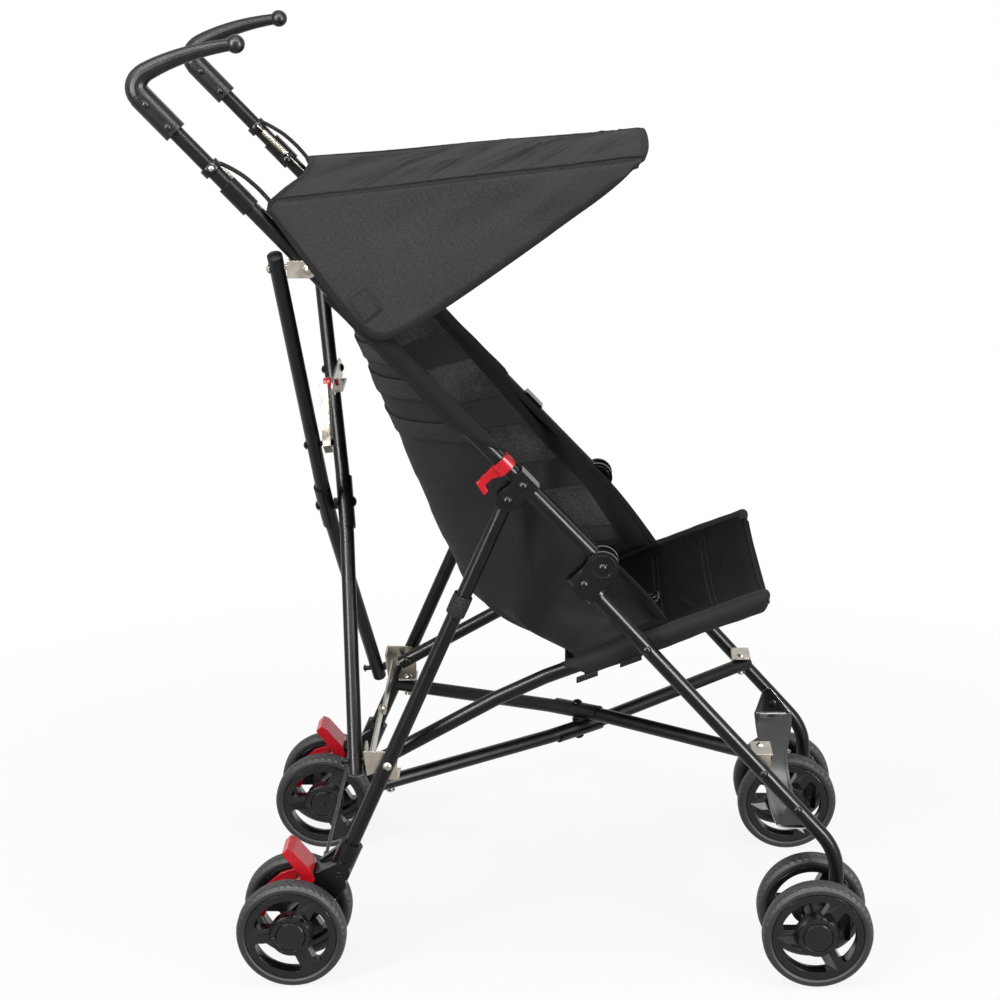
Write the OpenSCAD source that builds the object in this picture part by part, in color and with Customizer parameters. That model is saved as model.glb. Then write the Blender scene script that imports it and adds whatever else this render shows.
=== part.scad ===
// Umbrella stroller with twin wheels, a two-way folding frame, sling seat and sun canopy.
// Millimetres. +X is forward, +Y is to the rider's left, +Z is up, the ground is z = 0.
// Each side piece is drawn once, for the right side, and mirrored for the left.

/* [Frame tubes] */
// Outside diameter of every frame tube
tube_d = 16; // [14:0.5:17]
// Wall of every frame tube
tube_wall = 1.2; // [0.8:0.1:2]
// Centre plane to the plane of each side frame
side_y = 184; // [176:1:200]
// Centre radius of the tube bends
bend_r = 70; // [55:5:90]

/* [Wheels] */
// Outside diameter of each wheel
wheel_d = 120; // [112:1:126]
// Width of a tyre
tyre_w = 25; // [20:1:27]
// Radial height of a tyre
tyre_h = 9.8; // [7:0.2:11]
// Distance between the two wheels of a pair
twin_pitch = 74; // [72:1:80]
// Rear axle to front axle
wheel_base = 570; // [550:1:590]
// Rear axle behind the origin
rear_axle_back = 246; // [240:1:252]
// Radius of the wheel hub cap
hub_cap_r = 15.5; // [13:0.5:16.5]
// Radius of the wheel hub ring
hub_ring_r = 22; // [20:0.5:24]
// Diameter of the axles
axle_d = 8; // [6:0.5:10]
// Half of the width of one wheel spoke
spoke_half = 8.5; // [6:0.5:10]

/* [Push tubes] */
// Knee pivot in front of the origin
knee_x = 92; // [85:1:100]
// Knee pivot above the ground
knee_z = 466; // [450:1:480]
// Lean of the push tubes from level
push_angle = 46.7; // [44:0.1:50]
// Knee pivot to the lower end of the grip sleeve
push_len = 626; // [600:1:640]
// Knee pivot to the clevis rivet
clevis_at = 436; // [420:1:450]
// Knee pivot to the rear leg plate
plate_at = 121; // [112:1:130]
// Rear leg pivot below the push tube
plate_drop = 22.6; // [21:0.1:26]
// Canopy clip below the lower end of the grip sleeve
clip_drop = 78; // [66:1:91]

/* [Grips] */
// Outside diameter of the grip sleeve
grip_d = 25; // [22:0.5:28]
// Length of the grip sleeve
grip_sleeve = 62; // [52:1:68]
// Diameter of the hook at its tip
grip_tip_d = 12; // [10:0.5:14]
// Diameter of the ball at the tip
grip_ball_d = 19; // [16:0.5:22]

/* [Legs] */
// Front leg axis below the knee pivot
knee_drop = 27; // [25:0.5:30]
// Lean of the front legs from level
front_angle = 48.2; // [46:0.1:51]
// Swivel axis in front of the front axle
trail = 23; // [20:1:28]
// Lower end of the front leg above the ground
stem_z = 66; // [62:1:72]
// Front leg top to the seat rail pivot
rail_at = 100; // [94:1:106]
// Front leg top to the lower brace bracket
brace_at = 289; // [280:1:295]
// Front leg top to the footrest rivet
foot_at = 345; // [338:1:350]
// Lean of the rear legs from level
rear_angle = 66; // [64:0.2:68]
// Length of the rear leg below its pivot
rear_len = 478; // [470:1:484]
// Rear leg pivot to the rear bracket rivet
bracket_at = 325; // [318:1:332]

/* [Braces] */
// Centre plane to the lower ends of the rear struts
bracket_y = 153; // [149:0.5:156]
// Rear strut behind the clevis rivet
clevis_reach = 33; // [31:0.5:36]
// Rear strut behind the rear bracket rivet
bracket_reach = 38; // [36:0.5:41]
// Rear strut pin below the rear bracket rivet
bracket_drop = 9; // [7:0.5:11]
// Fore and aft bow of each brace where the pair crosses
brace_bow = 10; // [9.5:0.1:12]
// Straight run of each rear strut on both sides of its crossing bolt
strut_run = 36; // [33:1:45]
// Straight run of each lower brace on both sides of its crossing bolt
brace_run = 40; // [33:1:45]
// Centre plane to the front ends of the lower braces
brace_front_y = 147; // [143:0.5:150]
// Lower brace below the rear bracket rivet
brace_low = 33; // [31:0.5:36]
// Lower brace above the front leg rivet
brace_high = 5; // [3:0.5:8]
// Room between a sloping brace and the tab that holds it
brace_room = 1.7; // [1.4:0.1:2.2]

/* [Seat] */
// Centre plane to each seat rail
rail_y = 157; // [154:0.5:159]
// Bend of the seat rail in front of the origin
rail_bend_x = 5; // [0:1:10]
// Bend of the seat rail above the ground
rail_bend_z = 322; // [318:1:326]
// Front end of the seat rail in front of the origin
rail_front_x = 266; // [255:1:275]
// Thickness of the seat cloth and its padding
cloth_t = 7; // [5:0.5:9]
// Sag of the seat base between the rails
seat_sag = 24; // [15:1:30]
// Backrest depth behind the push tubes at its foot
back_depth = 120; // [100:2:140]

/* [Canopy] */
// Half of the canopy width at its hem
canopy_half = 189; // [187:0.5:198]
// Rear edge of the canopy behind the origin
canopy_rear = 244; // [238:1:250]
// Front edge of the canopy in front of the origin
canopy_front = 142; // [120:1:160]
// Canopy cloth thickness with its binding
canopy_t = 3; // [2:0.5:4]

/* [Footrest] */
// Fore and aft width of the footrest band
foot_w = 42; // [34:1:46]
// Sag of the footrest band between the legs
foot_sag = 86; // [60:1:90]
// Thickness of the footrest band
foot_t = 2.5; // [2:0.1:4]

/* [Fits] */
// Diameter of rivets and pivot pins
pin_d = 6; // [5:0.5:7]
// Radial clearance of a pin in its hole
fit = 0.05; // [0.02:0.01:0.1]
// Gap between pieces that move past each other
gap = 0.4; // [0.3:0.05:0.6]
// Thickness of sheet metal brackets
sheet = 2.2; // [1.6:0.1:2.6]

/* [Hidden] */
$fn = 48;
e = 0.01;
tube_r = tube_d / 2;
pin_r = pin_d / 2;
hole_r = pin_r + fit;
wheel_r = wheel_d / 2;
steel = "#2b2b2d";
plated = "#b9b4a8";
plastic = "#1d1d1f";
red = "#d0182a";
cloth = "#333336";

// Side view points [x, z]
function up(a) = [-cos(a), sin(a)];
knee = [knee_x, knee_z];
push_low = [-sin(push_angle), -cos(push_angle)];
function push_pt(t) = knee + t * up(push_angle);
leg_top = knee + knee_drop * push_low;
leg_dir = [cos(front_angle), -sin(front_angle)];
function leg_pt(t) = leg_top + t * leg_dir;
rear_axle = [-rear_axle_back, wheel_r];
front_axle = [wheel_base - rear_axle_back, wheel_r];
swivel_x = front_axle[0] + trail;
leg_corner = leg_pt((swivel_x - leg_top[0]) / leg_dir[0]);
rear_top = push_pt(plate_at) + plate_drop * push_low;
rear_dir = [-cos(rear_angle), -sin(rear_angle)];
function rear_pt(t) = rear_top + t * rear_dir;
rear_pin = rear_pt(bracket_at);
clevis_pin = push_pt(clevis_at);
// the canopy clip hangs below the grip, but stays clear of the clevis
clevis_room = 46;
clip_at = max(push_len - clip_drop, clevis_at + clevis_room);
rail_pin = leg_pt(rail_at);
brace_pin = leg_pt(brace_at);
rail_bend = [rail_bend_x, rail_bend_z];
rail_dir = (rail_pin - rail_bend) / norm(rail_pin - rail_bend);
rail_front = rail_bend + rail_dir * (rail_front_x - rail_bend[0]) / rail_dir[0];

// The sloping plane of the rear struts: local x is its normal, z runs up it
strut_top = clevis_pin - [clevis_reach, 0];
strut_bot = rear_pin - [bracket_reach, bracket_drop];
strut_h = norm(strut_top - strut_bot);
strut_w = side_y + bracket_y;
strut_tilt = atan2(strut_bot[0] - strut_top[0], strut_top[1] - strut_bot[1]);
strut_a = atan2(strut_w, strut_h);
strut_up = side_y / sin(strut_a);
strut_down = bracket_y / sin(strut_a);
cross_pt = strut_bot + (strut_top - strut_bot) * bracket_y / strut_w;

// Lower braces
brace_rear_z = rear_pin[1] - brace_low;
brace_front_z = brace_pin[1] + brace_high;
brace_dx = brace_pin[0] - rear_pin[0];
brace_w = bracket_y + brace_front_y;
brace_len = norm([brace_dx, brace_w, brace_front_z - brace_rear_z]);
brace_yaw = atan2(brace_w, brace_dx);
brace_pitch = asin((brace_front_z - brace_rear_z) / brace_len);
brace_mid = brace_len * bracket_y / brace_w;

// Placing helpers. In the side plane, local x and y are world x and z, local z points outwards
module in_side(out = 0) {
    translate([0, -side_y - out, 0]) rotate([90, 0, 0]) children();
}
module at(p, z = 0) { translate([p[0], p[1], z]) children(); }
module to_left() { mirror([0, 1, 0]) children(); }
module strut_frame() {
    translate([cross_pt[0], 0, cross_pt[1]]) rotate([0, -strut_tilt, 0]) children();
}
module brace_frame(s) {
    translate([rear_pin[0], -s * bracket_y, brace_rear_z])
        rotate([0, 0, s * brace_yaw]) rotate([0, -brace_pitch, 0]) children();
}

// A bent tube through flat points, as straight runs and true arcs
function turn_at(p, i) = let (a = p[i] - p[i - 1], b = p[i + 1] - p[i])
    atan2(a[0] * b[1] - a[1] * b[0], a * b);
function tangent_at(p, i, r) = i == 0 || i == len(p) - 1 ? 0 : r * tan(abs(turn_at(p, i)) / 2);
module bar_path(p, r, d) {
    for (i = [0 : len(p) - 2]) {
        v = (p[i + 1] - p[i]) / norm(p[i + 1] - p[i]);
        a = p[i] + v * tangent_at(p, i, r);
        b = p[i + 1] - v * tangent_at(p, i + 1, r);
        at(a) rotate([0, 0, atan2(v[1], v[0])]) rotate([0, 90, 0]) cylinder(d = d, h = norm(b - a));
    }
    for (i = [1 : 1 : len(p) - 2]) {
        t = turn_at(p, i);
        s = sign(t);
        v = (p[i] - p[i - 1]) / norm(p[i] - p[i - 1]);
        c = p[i] - v * tangent_at(p, i, r) + s * r * [-v[1], v[0]];
        a0 = atan2(v[1], v[0]) - s * 90;
        at(c) rotate([0, 0, s > 0 ? a0 : a0 + t])
            rotate_extrude(angle = abs(t)) translate([r, 0]) circle(d = d);
    }
}
module tube_path(p, r = bend_r) {
    difference() {
        bar_path(p, r, tube_d);
        bar_path(p, r, tube_d - 2 * tube_wall);
    }
}
// A tube through shallow bends, as straight runs mitred where they meet
mitre_over = 4;
mitre_block = 40;
module mitre_bar(p, d) {
    last = len(p) - 2;
    for (i = [0 : last]) {
        v = (p[i + 1] - p[i]) / norm(p[i + 1] - p[i]);
        a = i > 0 ? mitre_over : 0;
        b = i < last ? mitre_over : 0;
        difference() {
            at(p[i] - a * v) rotate([0, 0, atan2(v[1], v[0])]) rotate([0, 90, 0])
                cylinder(d = d, h = norm(p[i + 1] - p[i]) + a + b);
            if (i > 0) mitre_cut(p, i, -mitre_block);
            if (i < last) mitre_cut(p, i + 1, 0);
        }
    }
}
module mitre_cut(p, i, x) {
    v = (p[i] - p[i - 1]) / norm(p[i] - p[i - 1]) + (p[i + 1] - p[i]) / norm(p[i + 1] - p[i]);
    at(p[i]) rotate([0, 0, atan2(v[1], v[0])]) translate([x, -mitre_block / 2, -mitre_block / 2])
        cube(mitre_block);
}
module mitre_tube(p) {
    difference() {
        mitre_bar(p, tube_d);
        mitre_bar(p, tube_d - 2 * tube_wall);
    }
}
// A rivet along local z: a shank between two dome heads
module dome(r, h) {
    intersection() {
        translate([0, 0, h - (r * r + h * h) / (2 * h)]) sphere(r = (r * r + h * h) / (2 * h));
        cylinder(r = r + 1, h = h + 1);
    }
}
module rivet(z0, z1, head = 5, low_head = true) {
    translate([0, 0, z0]) cylinder(r = pin_r, h = z1 - z0);
    translate([0, 0, z1]) dome(head, 3);
    if (low_head) translate([0, 0, z0]) mirror([0, 0, 1]) dome(head, 3);
}
// A pin hole through everything on its axis
through = 200;
module hole(h = through) { cylinder(r = hole_r, h = h, center = true); }
// A plate outline round two points, as two discs and the band between them
module link_2d(a, b, ra, rb) {
    v = (b - a) / norm(b - a);
    n = [-v[1], v[0]];
    translate(a) circle(r = ra);
    translate(b) circle(r = rb);
    polygon([a + n * ra, b + n * rb, b - n * rb, a - n * ra]);
}
// A closed skin over a grid of points: the grid, and the same grid moved by an offset grid
module skin(front, back) {
    m = len(front);
    n = len(front[0]);
    k = m * n;
    pts = [for (g = [front, back]) for (row = g) for (q = row) q];
    function id(s, i, j) = s * k + i * n + j;
    quads = concat(
        [for (i = [0 : m - 2]) for (j = [0 : n - 2])
            [id(0, i, j), id(0, i, j + 1), id(0, i + 1, j + 1), id(0, i + 1, j)]],
        [for (i = [0 : m - 2]) for (j = [0 : n - 2])
            [id(1, i, j), id(1, i + 1, j), id(1, i + 1, j + 1), id(1, i, j + 1)]],
        [for (i = [0 : m - 2]) [id(0, i, 0), id(0, i + 1, 0), id(1, i + 1, 0), id(1, i, 0)]],
        [for (i = [0 : m - 2])
            [id(0, i, n - 1), id(1, i, n - 1), id(1, i + 1, n - 1), id(0, i + 1, n - 1)]],
        [for (j = [0 : n - 2]) [id(0, 0, j), id(1, 0, j), id(1, 0, j + 1), id(0, 0, j + 1)]],
        [for (j = [0 : n - 2])
            [id(0, m - 1, j), id(0, m - 1, j + 1), id(1, m - 1, j + 1), id(1, m - 1, j)]]);
    polyhedron(pts, [for (f = quads) for (t = [[0, 1, 2], [0, 2, 3]]) [f[t[0]], f[t[1]], f[t[2]]]]);
}

// Rear struts: two bowed tubes that cross, each with an end cap, a saddle and lock bolts
lock_b_at = 161;
lock_a_at = 97;
strut_tail = 14;
// Offset of a strut from the plane of the pair, full over the straight run at the crossing
function strut_x(s, z) = let (far = z > 0 ? strut_up : strut_down)
    s * brace_bow * min(1, 1 - (abs(z) - strut_run) / (far - strut_run));
function strut_path(s) = [for (z = [-strut_down - strut_tail, -strut_run, strut_run, strut_up + strut_tail])
    [strut_x(s, z), z]];
module strut(s) {
    p = strut_path(s);
    difference() {
        rotate([90, 0, 0]) mitre_tube(p);
        for (z = [-strut_down, 0, strut_up, s > 0 ? lock_b_at : lock_a_at])
            translate([0, 0, z]) rotate([0, 90, 0]) hole();
    }
    saddle(s);
    for (q = [[p[0], p[1]], [p[3], p[2]]]) translate([q[0][0], 0, q[0][1] + sign(q[0][1]) * gap / 2])
        rotate([0, atan2(q[0][0] - q[1][0], q[0][1] - q[1][1]), 0]) end_cap();
}
module end_cap() {
    cylinder(r = tube_r, h = cap_h);
    translate([0, 0, cap_h - e]) dome(tube_r - 0.4, 1.6);
}
cap_h = 2.2;
// Half shell on the straight run of a brace, under the head of the crossing bolt
saddle_wall = 2.2;
saddle_half = 30;
module saddle(s) {
    difference() {
        translate([s * brace_bow, 0, 0]) difference() {
            cylinder(r = tube_r + gap / 2 + saddle_wall, h = 2 * saddle_half, center = true);
            cylinder(r = tube_r + gap / 2, h = 3 * saddle_half, center = true);
            translate([-s * 19, 0, 0]) cube([40, 60, 3 * saddle_half], center = true);
        }
        rotate([0, 90, 0]) hole();
    }
}
// the bolt that carries a lock piece, and the pin in the strut's lower end
module strut_pins(s, z, front) {
    translate([0, 0, z]) rotate([0, 90, 0]) rivet(strut_x(s, z) - tube_r - gap, front, 5);
    translate([0, 0, -strut_down]) rotate([0, 90, 0]) {
        translate([0, 0, -tube_r - 6]) cylinder(r = pin_r, h = tube_d + 8);
        translate([0, 0, -tube_r - 6]) mirror([0, 0, 1]) dome(5, 3);
        translate([0, 0, tube_r + gap]) cylinder(r = 5, h = 3);
    }
}
module rear_strut_a() {
    color(steel) strut_frame() rotate([strut_a, 0, 0]) {
        strut(-1);
        strut_pins(-1, lock_a_at, lock_yoke_x + 10.5);
    }
}
module rear_strut_b() {
    color(steel) strut_frame() rotate([-strut_a, 0, 0]) {
        strut(1);
        strut_pins(1, lock_b_at, lock_lever_x + sheet + gap);
    }
}
module rear_x_bolt() {
    color(steel) strut_frame() rotate([0, 90, 0]) {
        x = brace_bow + tube_r + saddle_wall + gap;
        rivet(-x, x, 6);
        translate([0, 0, -brace_bow + tube_r + gap]) cylinder(r = 6.5, h = 2 * (brace_bow - tube_r - gap));
    }
}

// Fold lock between the struts: a sheet lever, a wire yoke with its spring, and a red button
lock_yoke_x = 2;
lock_lever_x = 15.6;
lock_b = [lock_b_at * sin(strut_a), lock_b_at * cos(strut_a)];
lock_a = [-lock_a_at * sin(strut_a), lock_a_at * cos(strut_a)];
lock_knee = [-8, 134];
lock_button = lock_knee + [26, 1];
module lock_plane(x) { strut_frame() translate([x, 0, 0]) rotate([90, 0, 90]) children(); }
module lock_lever() {
    color(plated) lock_plane(lock_lever_x) difference() {
        union() {
            linear_extrude(sheet) link_2d(lock_b, lock_knee, 11, 8);
            // turned flange along the lower edge, as a pressed lever has
            v = (lock_knee - lock_b) / norm(lock_knee - lock_b);
            at(lock_b + v * 18 + [v[1], -v[0]] * -9.6)
                rotate([0, 0, atan2(v[1], v[0])]) translate([0, -1.2, 0]) cube([52, 2.2, 9]);
        }
        at(lock_b) hole();
        at(lock_knee) hole();
        at(lock_button) cylinder(r = 4 + fit, h = 40, center = true);
    }
}
module lock_yoke() {
    v = (lock_knee - lock_a) / norm(lock_knee - lock_a);
    l = norm(lock_knee - lock_a);
    color(plated) lock_plane(lock_yoke_x) at(lock_a) rotate([0, 0, atan2(v[1], v[0])]) difference() {
        union() {
            // two straps joined by end plates round the spring
            for (s = [-1, 1]) translate([0, s * 8 - 1, 1]) cube([l, 2, 9]);
            translate([-8, -9, 1]) cube([13, 18, 9]);
            translate([l - 3, -9, 1]) cube([5, 18, 9]);
        }
        cylinder(r = hole_r, h = 60, center = true);
        translate([l, 0, 5.5]) rotate([0, -90, 0]) cylinder(r = 2.2, h = 20, center = true);
    }
}
// One unbroken helical wire between the yoke's end plates
spring_d = 9.5;
spring_wire = 1.2;
spring_turns = 16;
spring_from = 5.2;
spring_len = norm(lock_knee - lock_a) - 3.4 - spring_from;
spring_rings = 8;
function spring_pt(i) = let (t = i / (spring_turns * spring_rings), a = 360 * i / spring_rings)
    [spring_from + spring_wire / 2 + t * (spring_len - spring_wire), (spring_d - spring_wire) / 2 * cos(a),
        (spring_d - spring_wire) / 2 * sin(a)];
module wire_sweep(p, r, sides) {
    n = len(p);
    dirs = [for (i = [0 : n - 1]) let (d = p[min(i + 1, n - 1)] - p[max(i - 1, 0)]) d / norm(d)];
    pts = [for (i = [0 : n - 1]) let (u0 = cross(dirs[i], [1, 0, 0]), u = u0 / norm(u0),
        w = cross(dirs[i], u)) for (k = [0 : sides - 1])
            p[i] + r * (u * cos(360 * k / sides) + w * sin(360 * k / sides))];
    polyhedron(pts, concat(
        [for (i = [0 : n - 2]) for (k = [0 : sides - 1]) for (t = [0, 1]) let (a = i * sides + k,
            b = i * sides + (k + 1) % sides) t == 0 ? [a, a + sides, b] : [b, a + sides, b + sides]],
        [for (k = [1 : sides - 2]) [0, k, k + 1]],
        [for (k = [1 : sides - 2]) [(n - 1) * sides, (n - 1) * sides + k + 1, (n - 1) * sides + k]]));
}
spring_pts = [for (i = [0 : spring_turns * spring_rings]) spring_pt(i)];
spring_gap = min([for (i = [0 : len(spring_pts) - 1]) for (j = [i + spring_rings / 2 : len(spring_pts) - 1])
    norm(spring_pts[i] - spring_pts[j])]) - spring_wire;
echo("least gap between spring curls", spring_gap);
module lock_spring() {
    v = (lock_knee - lock_a) / norm(lock_knee - lock_a);
    color(plated) lock_plane(lock_yoke_x) at(lock_a, 5.5) rotate([0, 0, atan2(v[1], v[0])])
        wire_sweep(spring_pts, spring_wire / 2, 6);
}
module release_button() {
    color(red) lock_plane(0) at(lock_button) {
        translate([0, 0, 4]) cylinder(r1 = 6, r2 = 6.8, h = 7.6, $fn = 32);
        translate([0, 0, 4]) cylinder(r = 4, h = lock_lever_x + sheet - 1);
    }
}

// Clevis that hangs each rear strut on its push tube
module clevis() {
    in_side() difference() {
        union() {
            for (z = [tube_r + gap, -tube_r - gap - sheet]) translate([0, 0, z]) linear_extrude(sheet) {
                translate(clevis_pin) circle(r = 9);
                at(clevis_pin) translate([-clevis_web, -9]) square([clevis_web, 18]);
            }
            at(clevis_pin) translate([-clevis_web, -9, -tube_r - gap - sheet])
                cube([sheet, 15, 2 * (tube_r + gap + sheet)]);
        }
        at(clevis_pin) hole();
        at(clevis_pin) rotate([0, 90, 0]) hole();
    }
    // rivet through the tube, and the pin that carries the strut
    in_side() at(clevis_pin) rivet(-tube_r - gap - sheet, tube_r + gap + sheet, 5.2);
    translate([clevis_pin[0] - clevis_reach, -side_y, clevis_pin[1]]) rotate([0, 90 - strut_tilt, 0])
        rivet(-tube_r - gap, clevis_reach - clevis_web + sheet + 1, 5);
}
clevis_web = 22;
module clevis_right() { color(plated) clevis(); }
module clevis_left() { color(plated) to_left() clevis(); }

// Push tubes
module push_tube() {
    top = push_len + grip_sleeve - 4;
    in_side() difference() {
        tube_path([push_pt(-10), push_pt(top)]);
        at(knee) hole();
        at(clevis_pin) hole();
        at(push_pt(plate_at)) hole();
        for (t = grip_screws) at(push_pt(t)) hole();
    }
}
grip_screws = [push_len + 9, push_len + 40];
module push_tube_right() { color(steel) push_tube(); }
module push_tube_left() { color(steel) to_left() push_tube(); }

// Grip: a moulded sleeve that runs into a tapered hook with a ball at its tip
grip_turn = push_pt(push_len + grip_sleeve + 4);
grip_mid = grip_turn + [51, 33];
grip_tip = grip_turn + [109, 39];
function bez(a, b, c, t) = (1 - t) * (1 - t) * a + 2 * t * (1 - t) * b + t * t * c;
function grip_axis(t) = t < 0.45
    ? bez(push_pt(push_len + grip_sleeve - 16), grip_turn, grip_turn + [17, 12], t / 0.45)
    : bez(grip_turn + [17, 12], grip_mid + [5, 0], grip_tip, (t - 0.45) / 0.55);
function grip_r(t) = let (k = min(1, max(0, (t - 0.1) / 0.9)))
    (grip_d / 2 - 0.1) * (1 - k) + grip_tip_d / 2 * k;
module grip() {
    rings = 22;
    sides = 16;
    p = [for (i = [0 : rings]) let (q = grip_axis(i / rings)) [q[0], q[1], 0]];
    dirs = [for (i = [0 : rings]) let (d = p[min(i + 1, rings)] - p[max(i - 1, 0)]) d / norm(d)];
    pts = [for (i = [0 : rings]) for (k = [0 : sides - 1]) let (n = [-dirs[i][1], dirs[i][0], 0])
        p[i] + grip_r(i / rings) * (n * cos(360 * k / sides) + [0, 0, 1] * sin(360 * k / sides))];
    faces = concat(
        [for (i = [0 : rings - 1]) for (k = [0 : sides - 1]) for (t = [0, 1]) let (a = i * sides + k,
            b = i * sides + (k + 1) % sides) t == 0 ? [a, a + sides, b] : [b, a + sides, b + sides]],
        [for (k = [1 : sides - 2]) [0, k, k + 1]],
        [for (k = [1 : sides - 2]) [rings * sides, rings * sides + k + 1, rings * sides + k]]);
    in_side() difference() {
        union() {
            polyhedron(pts, faces);
            bar_path([push_pt(push_len), push_pt(push_len + grip_sleeve - 12)], 1, grip_d);
            at(grip_tip) sphere(d = grip_ball_d);
        }
        bar_path([push_pt(push_len - 10), push_pt(push_len + grip_sleeve - 3.8)], 1, tube_d + 2 * fit);
        for (t = grip_screws) at(push_pt(t)) hole();
    }
    for (t = grip_screws) in_side() at(push_pt(t)) rivet(-grip_d / 2 - fit, grip_d / 2 + fit, 4.4);
}
module grip_right() { color(plastic) grip(); }
module grip_left() { color(plastic) to_left() grip(); }

// Pressed channel over each push tube that carries the rear leg pivot
module pivot_plate() {
    p = push_pt(plate_at);
    half = tube_r + gap + sheet;
    top = tube_r + 1 + sheet;
    in_side() difference() {
        translate([0, 0, -half]) linear_extrude(2 * half) {
            link_2d(p, rear_top, 10, 12);
            at(p) rotate([0, 0, 180 - push_angle]) translate([-13, -top]) square([26, top + 3]);
        }
        // the slot that takes the push tube and the top of the rear leg
        at(p) rotate([0, 0, 180 - push_angle]) translate([-60, sheet - top, -half + sheet])
            cube([120, 90, 2 * (half - sheet)]);
        at(p) hole();
        at(rear_top) hole();
    }
    in_side() {
        at(p) rivet(-half, half, 5);
        at(rear_top) rivet(-half, half, 5);
    }
}
module pivot_plate_right() { color(plastic) pivot_plate(); }
module pivot_plate_left() { color(plastic) to_left() pivot_plate(); }

// Clip that holds the canopy on each push tube, with its pivot screw
module canopy_clip() {
    q = push_pt(clip_at - 22);
    in_side() {
        difference() {
            union() {
                bar_path([push_pt(clip_at - 28), push_pt(clip_at + 6)], 1, tube_d + 5);
                at(q, -tube_r - 6) cylinder(r = 8.2, h = tube_r + 2);
            }
            bar_path([push_pt(clip_at - 60), push_pt(clip_at + 40)], 1, tube_d + 2 * fit);
        }
        at(q, -tube_r - 6 - fit) mirror([0, 0, 1]) dome(6.5, 4.5);
    }
}
module canopy_clip_right() { color(plastic) canopy_clip(); }
module canopy_clip_left() { color(plastic) to_left() canopy_clip(); }

// Red catch: a C-clip that turns on the right push tube and hooks the folded rear leg
catch_at = plate_at + 29;
module transport_catch() {
    color(red) in_side() difference() {
        union() {
            bar_path([push_pt(catch_at - 7), push_pt(catch_at + 7)], 1, tube_d + 7);
            translate([0, 0, -5]) linear_extrude(10) polygon([
                push_pt(catch_at - 7) + 9 * push_low, push_pt(catch_at + 7) + 9 * push_low,
                push_pt(catch_at + 6) + 34 * push_low, push_pt(catch_at - 9) + 37 * push_low,
                push_pt(catch_at - 9) + 31 * push_low, push_pt(catch_at - 2) + 29 * push_low,
                push_pt(catch_at - 2) + 18 * push_low]);
        }
        bar_path([push_pt(catch_at - 40), push_pt(catch_at + 40)], 1, tube_d + 2 * fit);
        // the mouth of the C
        at(push_pt(catch_at) - 12 * push_low) rotate([0, 0, 90 - push_angle])
            cube([12, 40, 9], center = true);
    }
}

// Rear legs and their hubs
module rear_leg() {
    in_side() difference() {
        tube_path([rear_pt(-10), rear_pt(rear_len)]);
        at(rear_top) hole();
        at(rear_pin) hole();
        at(rear_pt(rear_len - 18)) hole();
    }
}
module rear_leg_right() { color(steel) rear_leg(); }
module rear_leg_left() { color(steel) to_left() rear_leg(); }
hub_half = 15;
brake_pivot = [rear_axle[0] + 8, wheel_r + 44];
cable_pt = rear_axle + [33, wheel_r + 1];
module rear_hub() {
    in_side() difference() {
        union() {
            bar_path([rear_pt(rear_len - 52), rear_pt(rear_len + 5)], 1, tube_d + 9);
            translate([0, 0, -hub_half]) linear_extrude(2 * hub_half) {
                link_2d(rear_axle, rear_pt(rear_len - 6), 13, 12);
                link_2d(rear_pt(rear_len - 20), brake_pivot, 11, 7);
            }
            at(rear_axle, -twin_pitch / 2 + tyre_w / 2 + gap) cylinder(r = 11,
                h = twin_pitch - tyre_w - 2 * gap);
            // boss that takes the brake cable, on the inner face
            translate([0, 0, -hub_half - 4]) linear_extrude(8) link_2d(rear_pt(rear_len - 40), cable_pt, 8, 5);
        }
        bar_path([rear_pt(rear_len - 90), rear_pt(rear_len + 0.2)], 1, tube_d + 2 * fit);
        at(rear_axle) cylinder(d = axle_d + 2 * fit, h = through, center = true);
        at(brake_pivot) hole();
        at(rear_pt(rear_len - 18)) hole();
    }
    in_side() at(rear_pt(rear_len - 18)) rivet(-12.4 - fit, 12.4 + fit, 4);
}
module rear_hub_right() { color(plastic) rear_hub(); }
module rear_hub_left() { color(plastic) to_left() rear_hub(); }
module axle(p) {
    half = twin_pitch / 2 + tyre_w / 2 - 4;
    in_side() at(p, -half) cylinder(d = axle_d, h = 2 * half);
}
module rear_axle_right() { color(plated) axle(rear_axle); }
module rear_axle_left() { color(plated) to_left() axle(rear_axle); }
module front_axle_right() { color(plated) axle(front_axle); }
module front_axle_left() { color(plated) to_left() axle(front_axle); }

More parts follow.
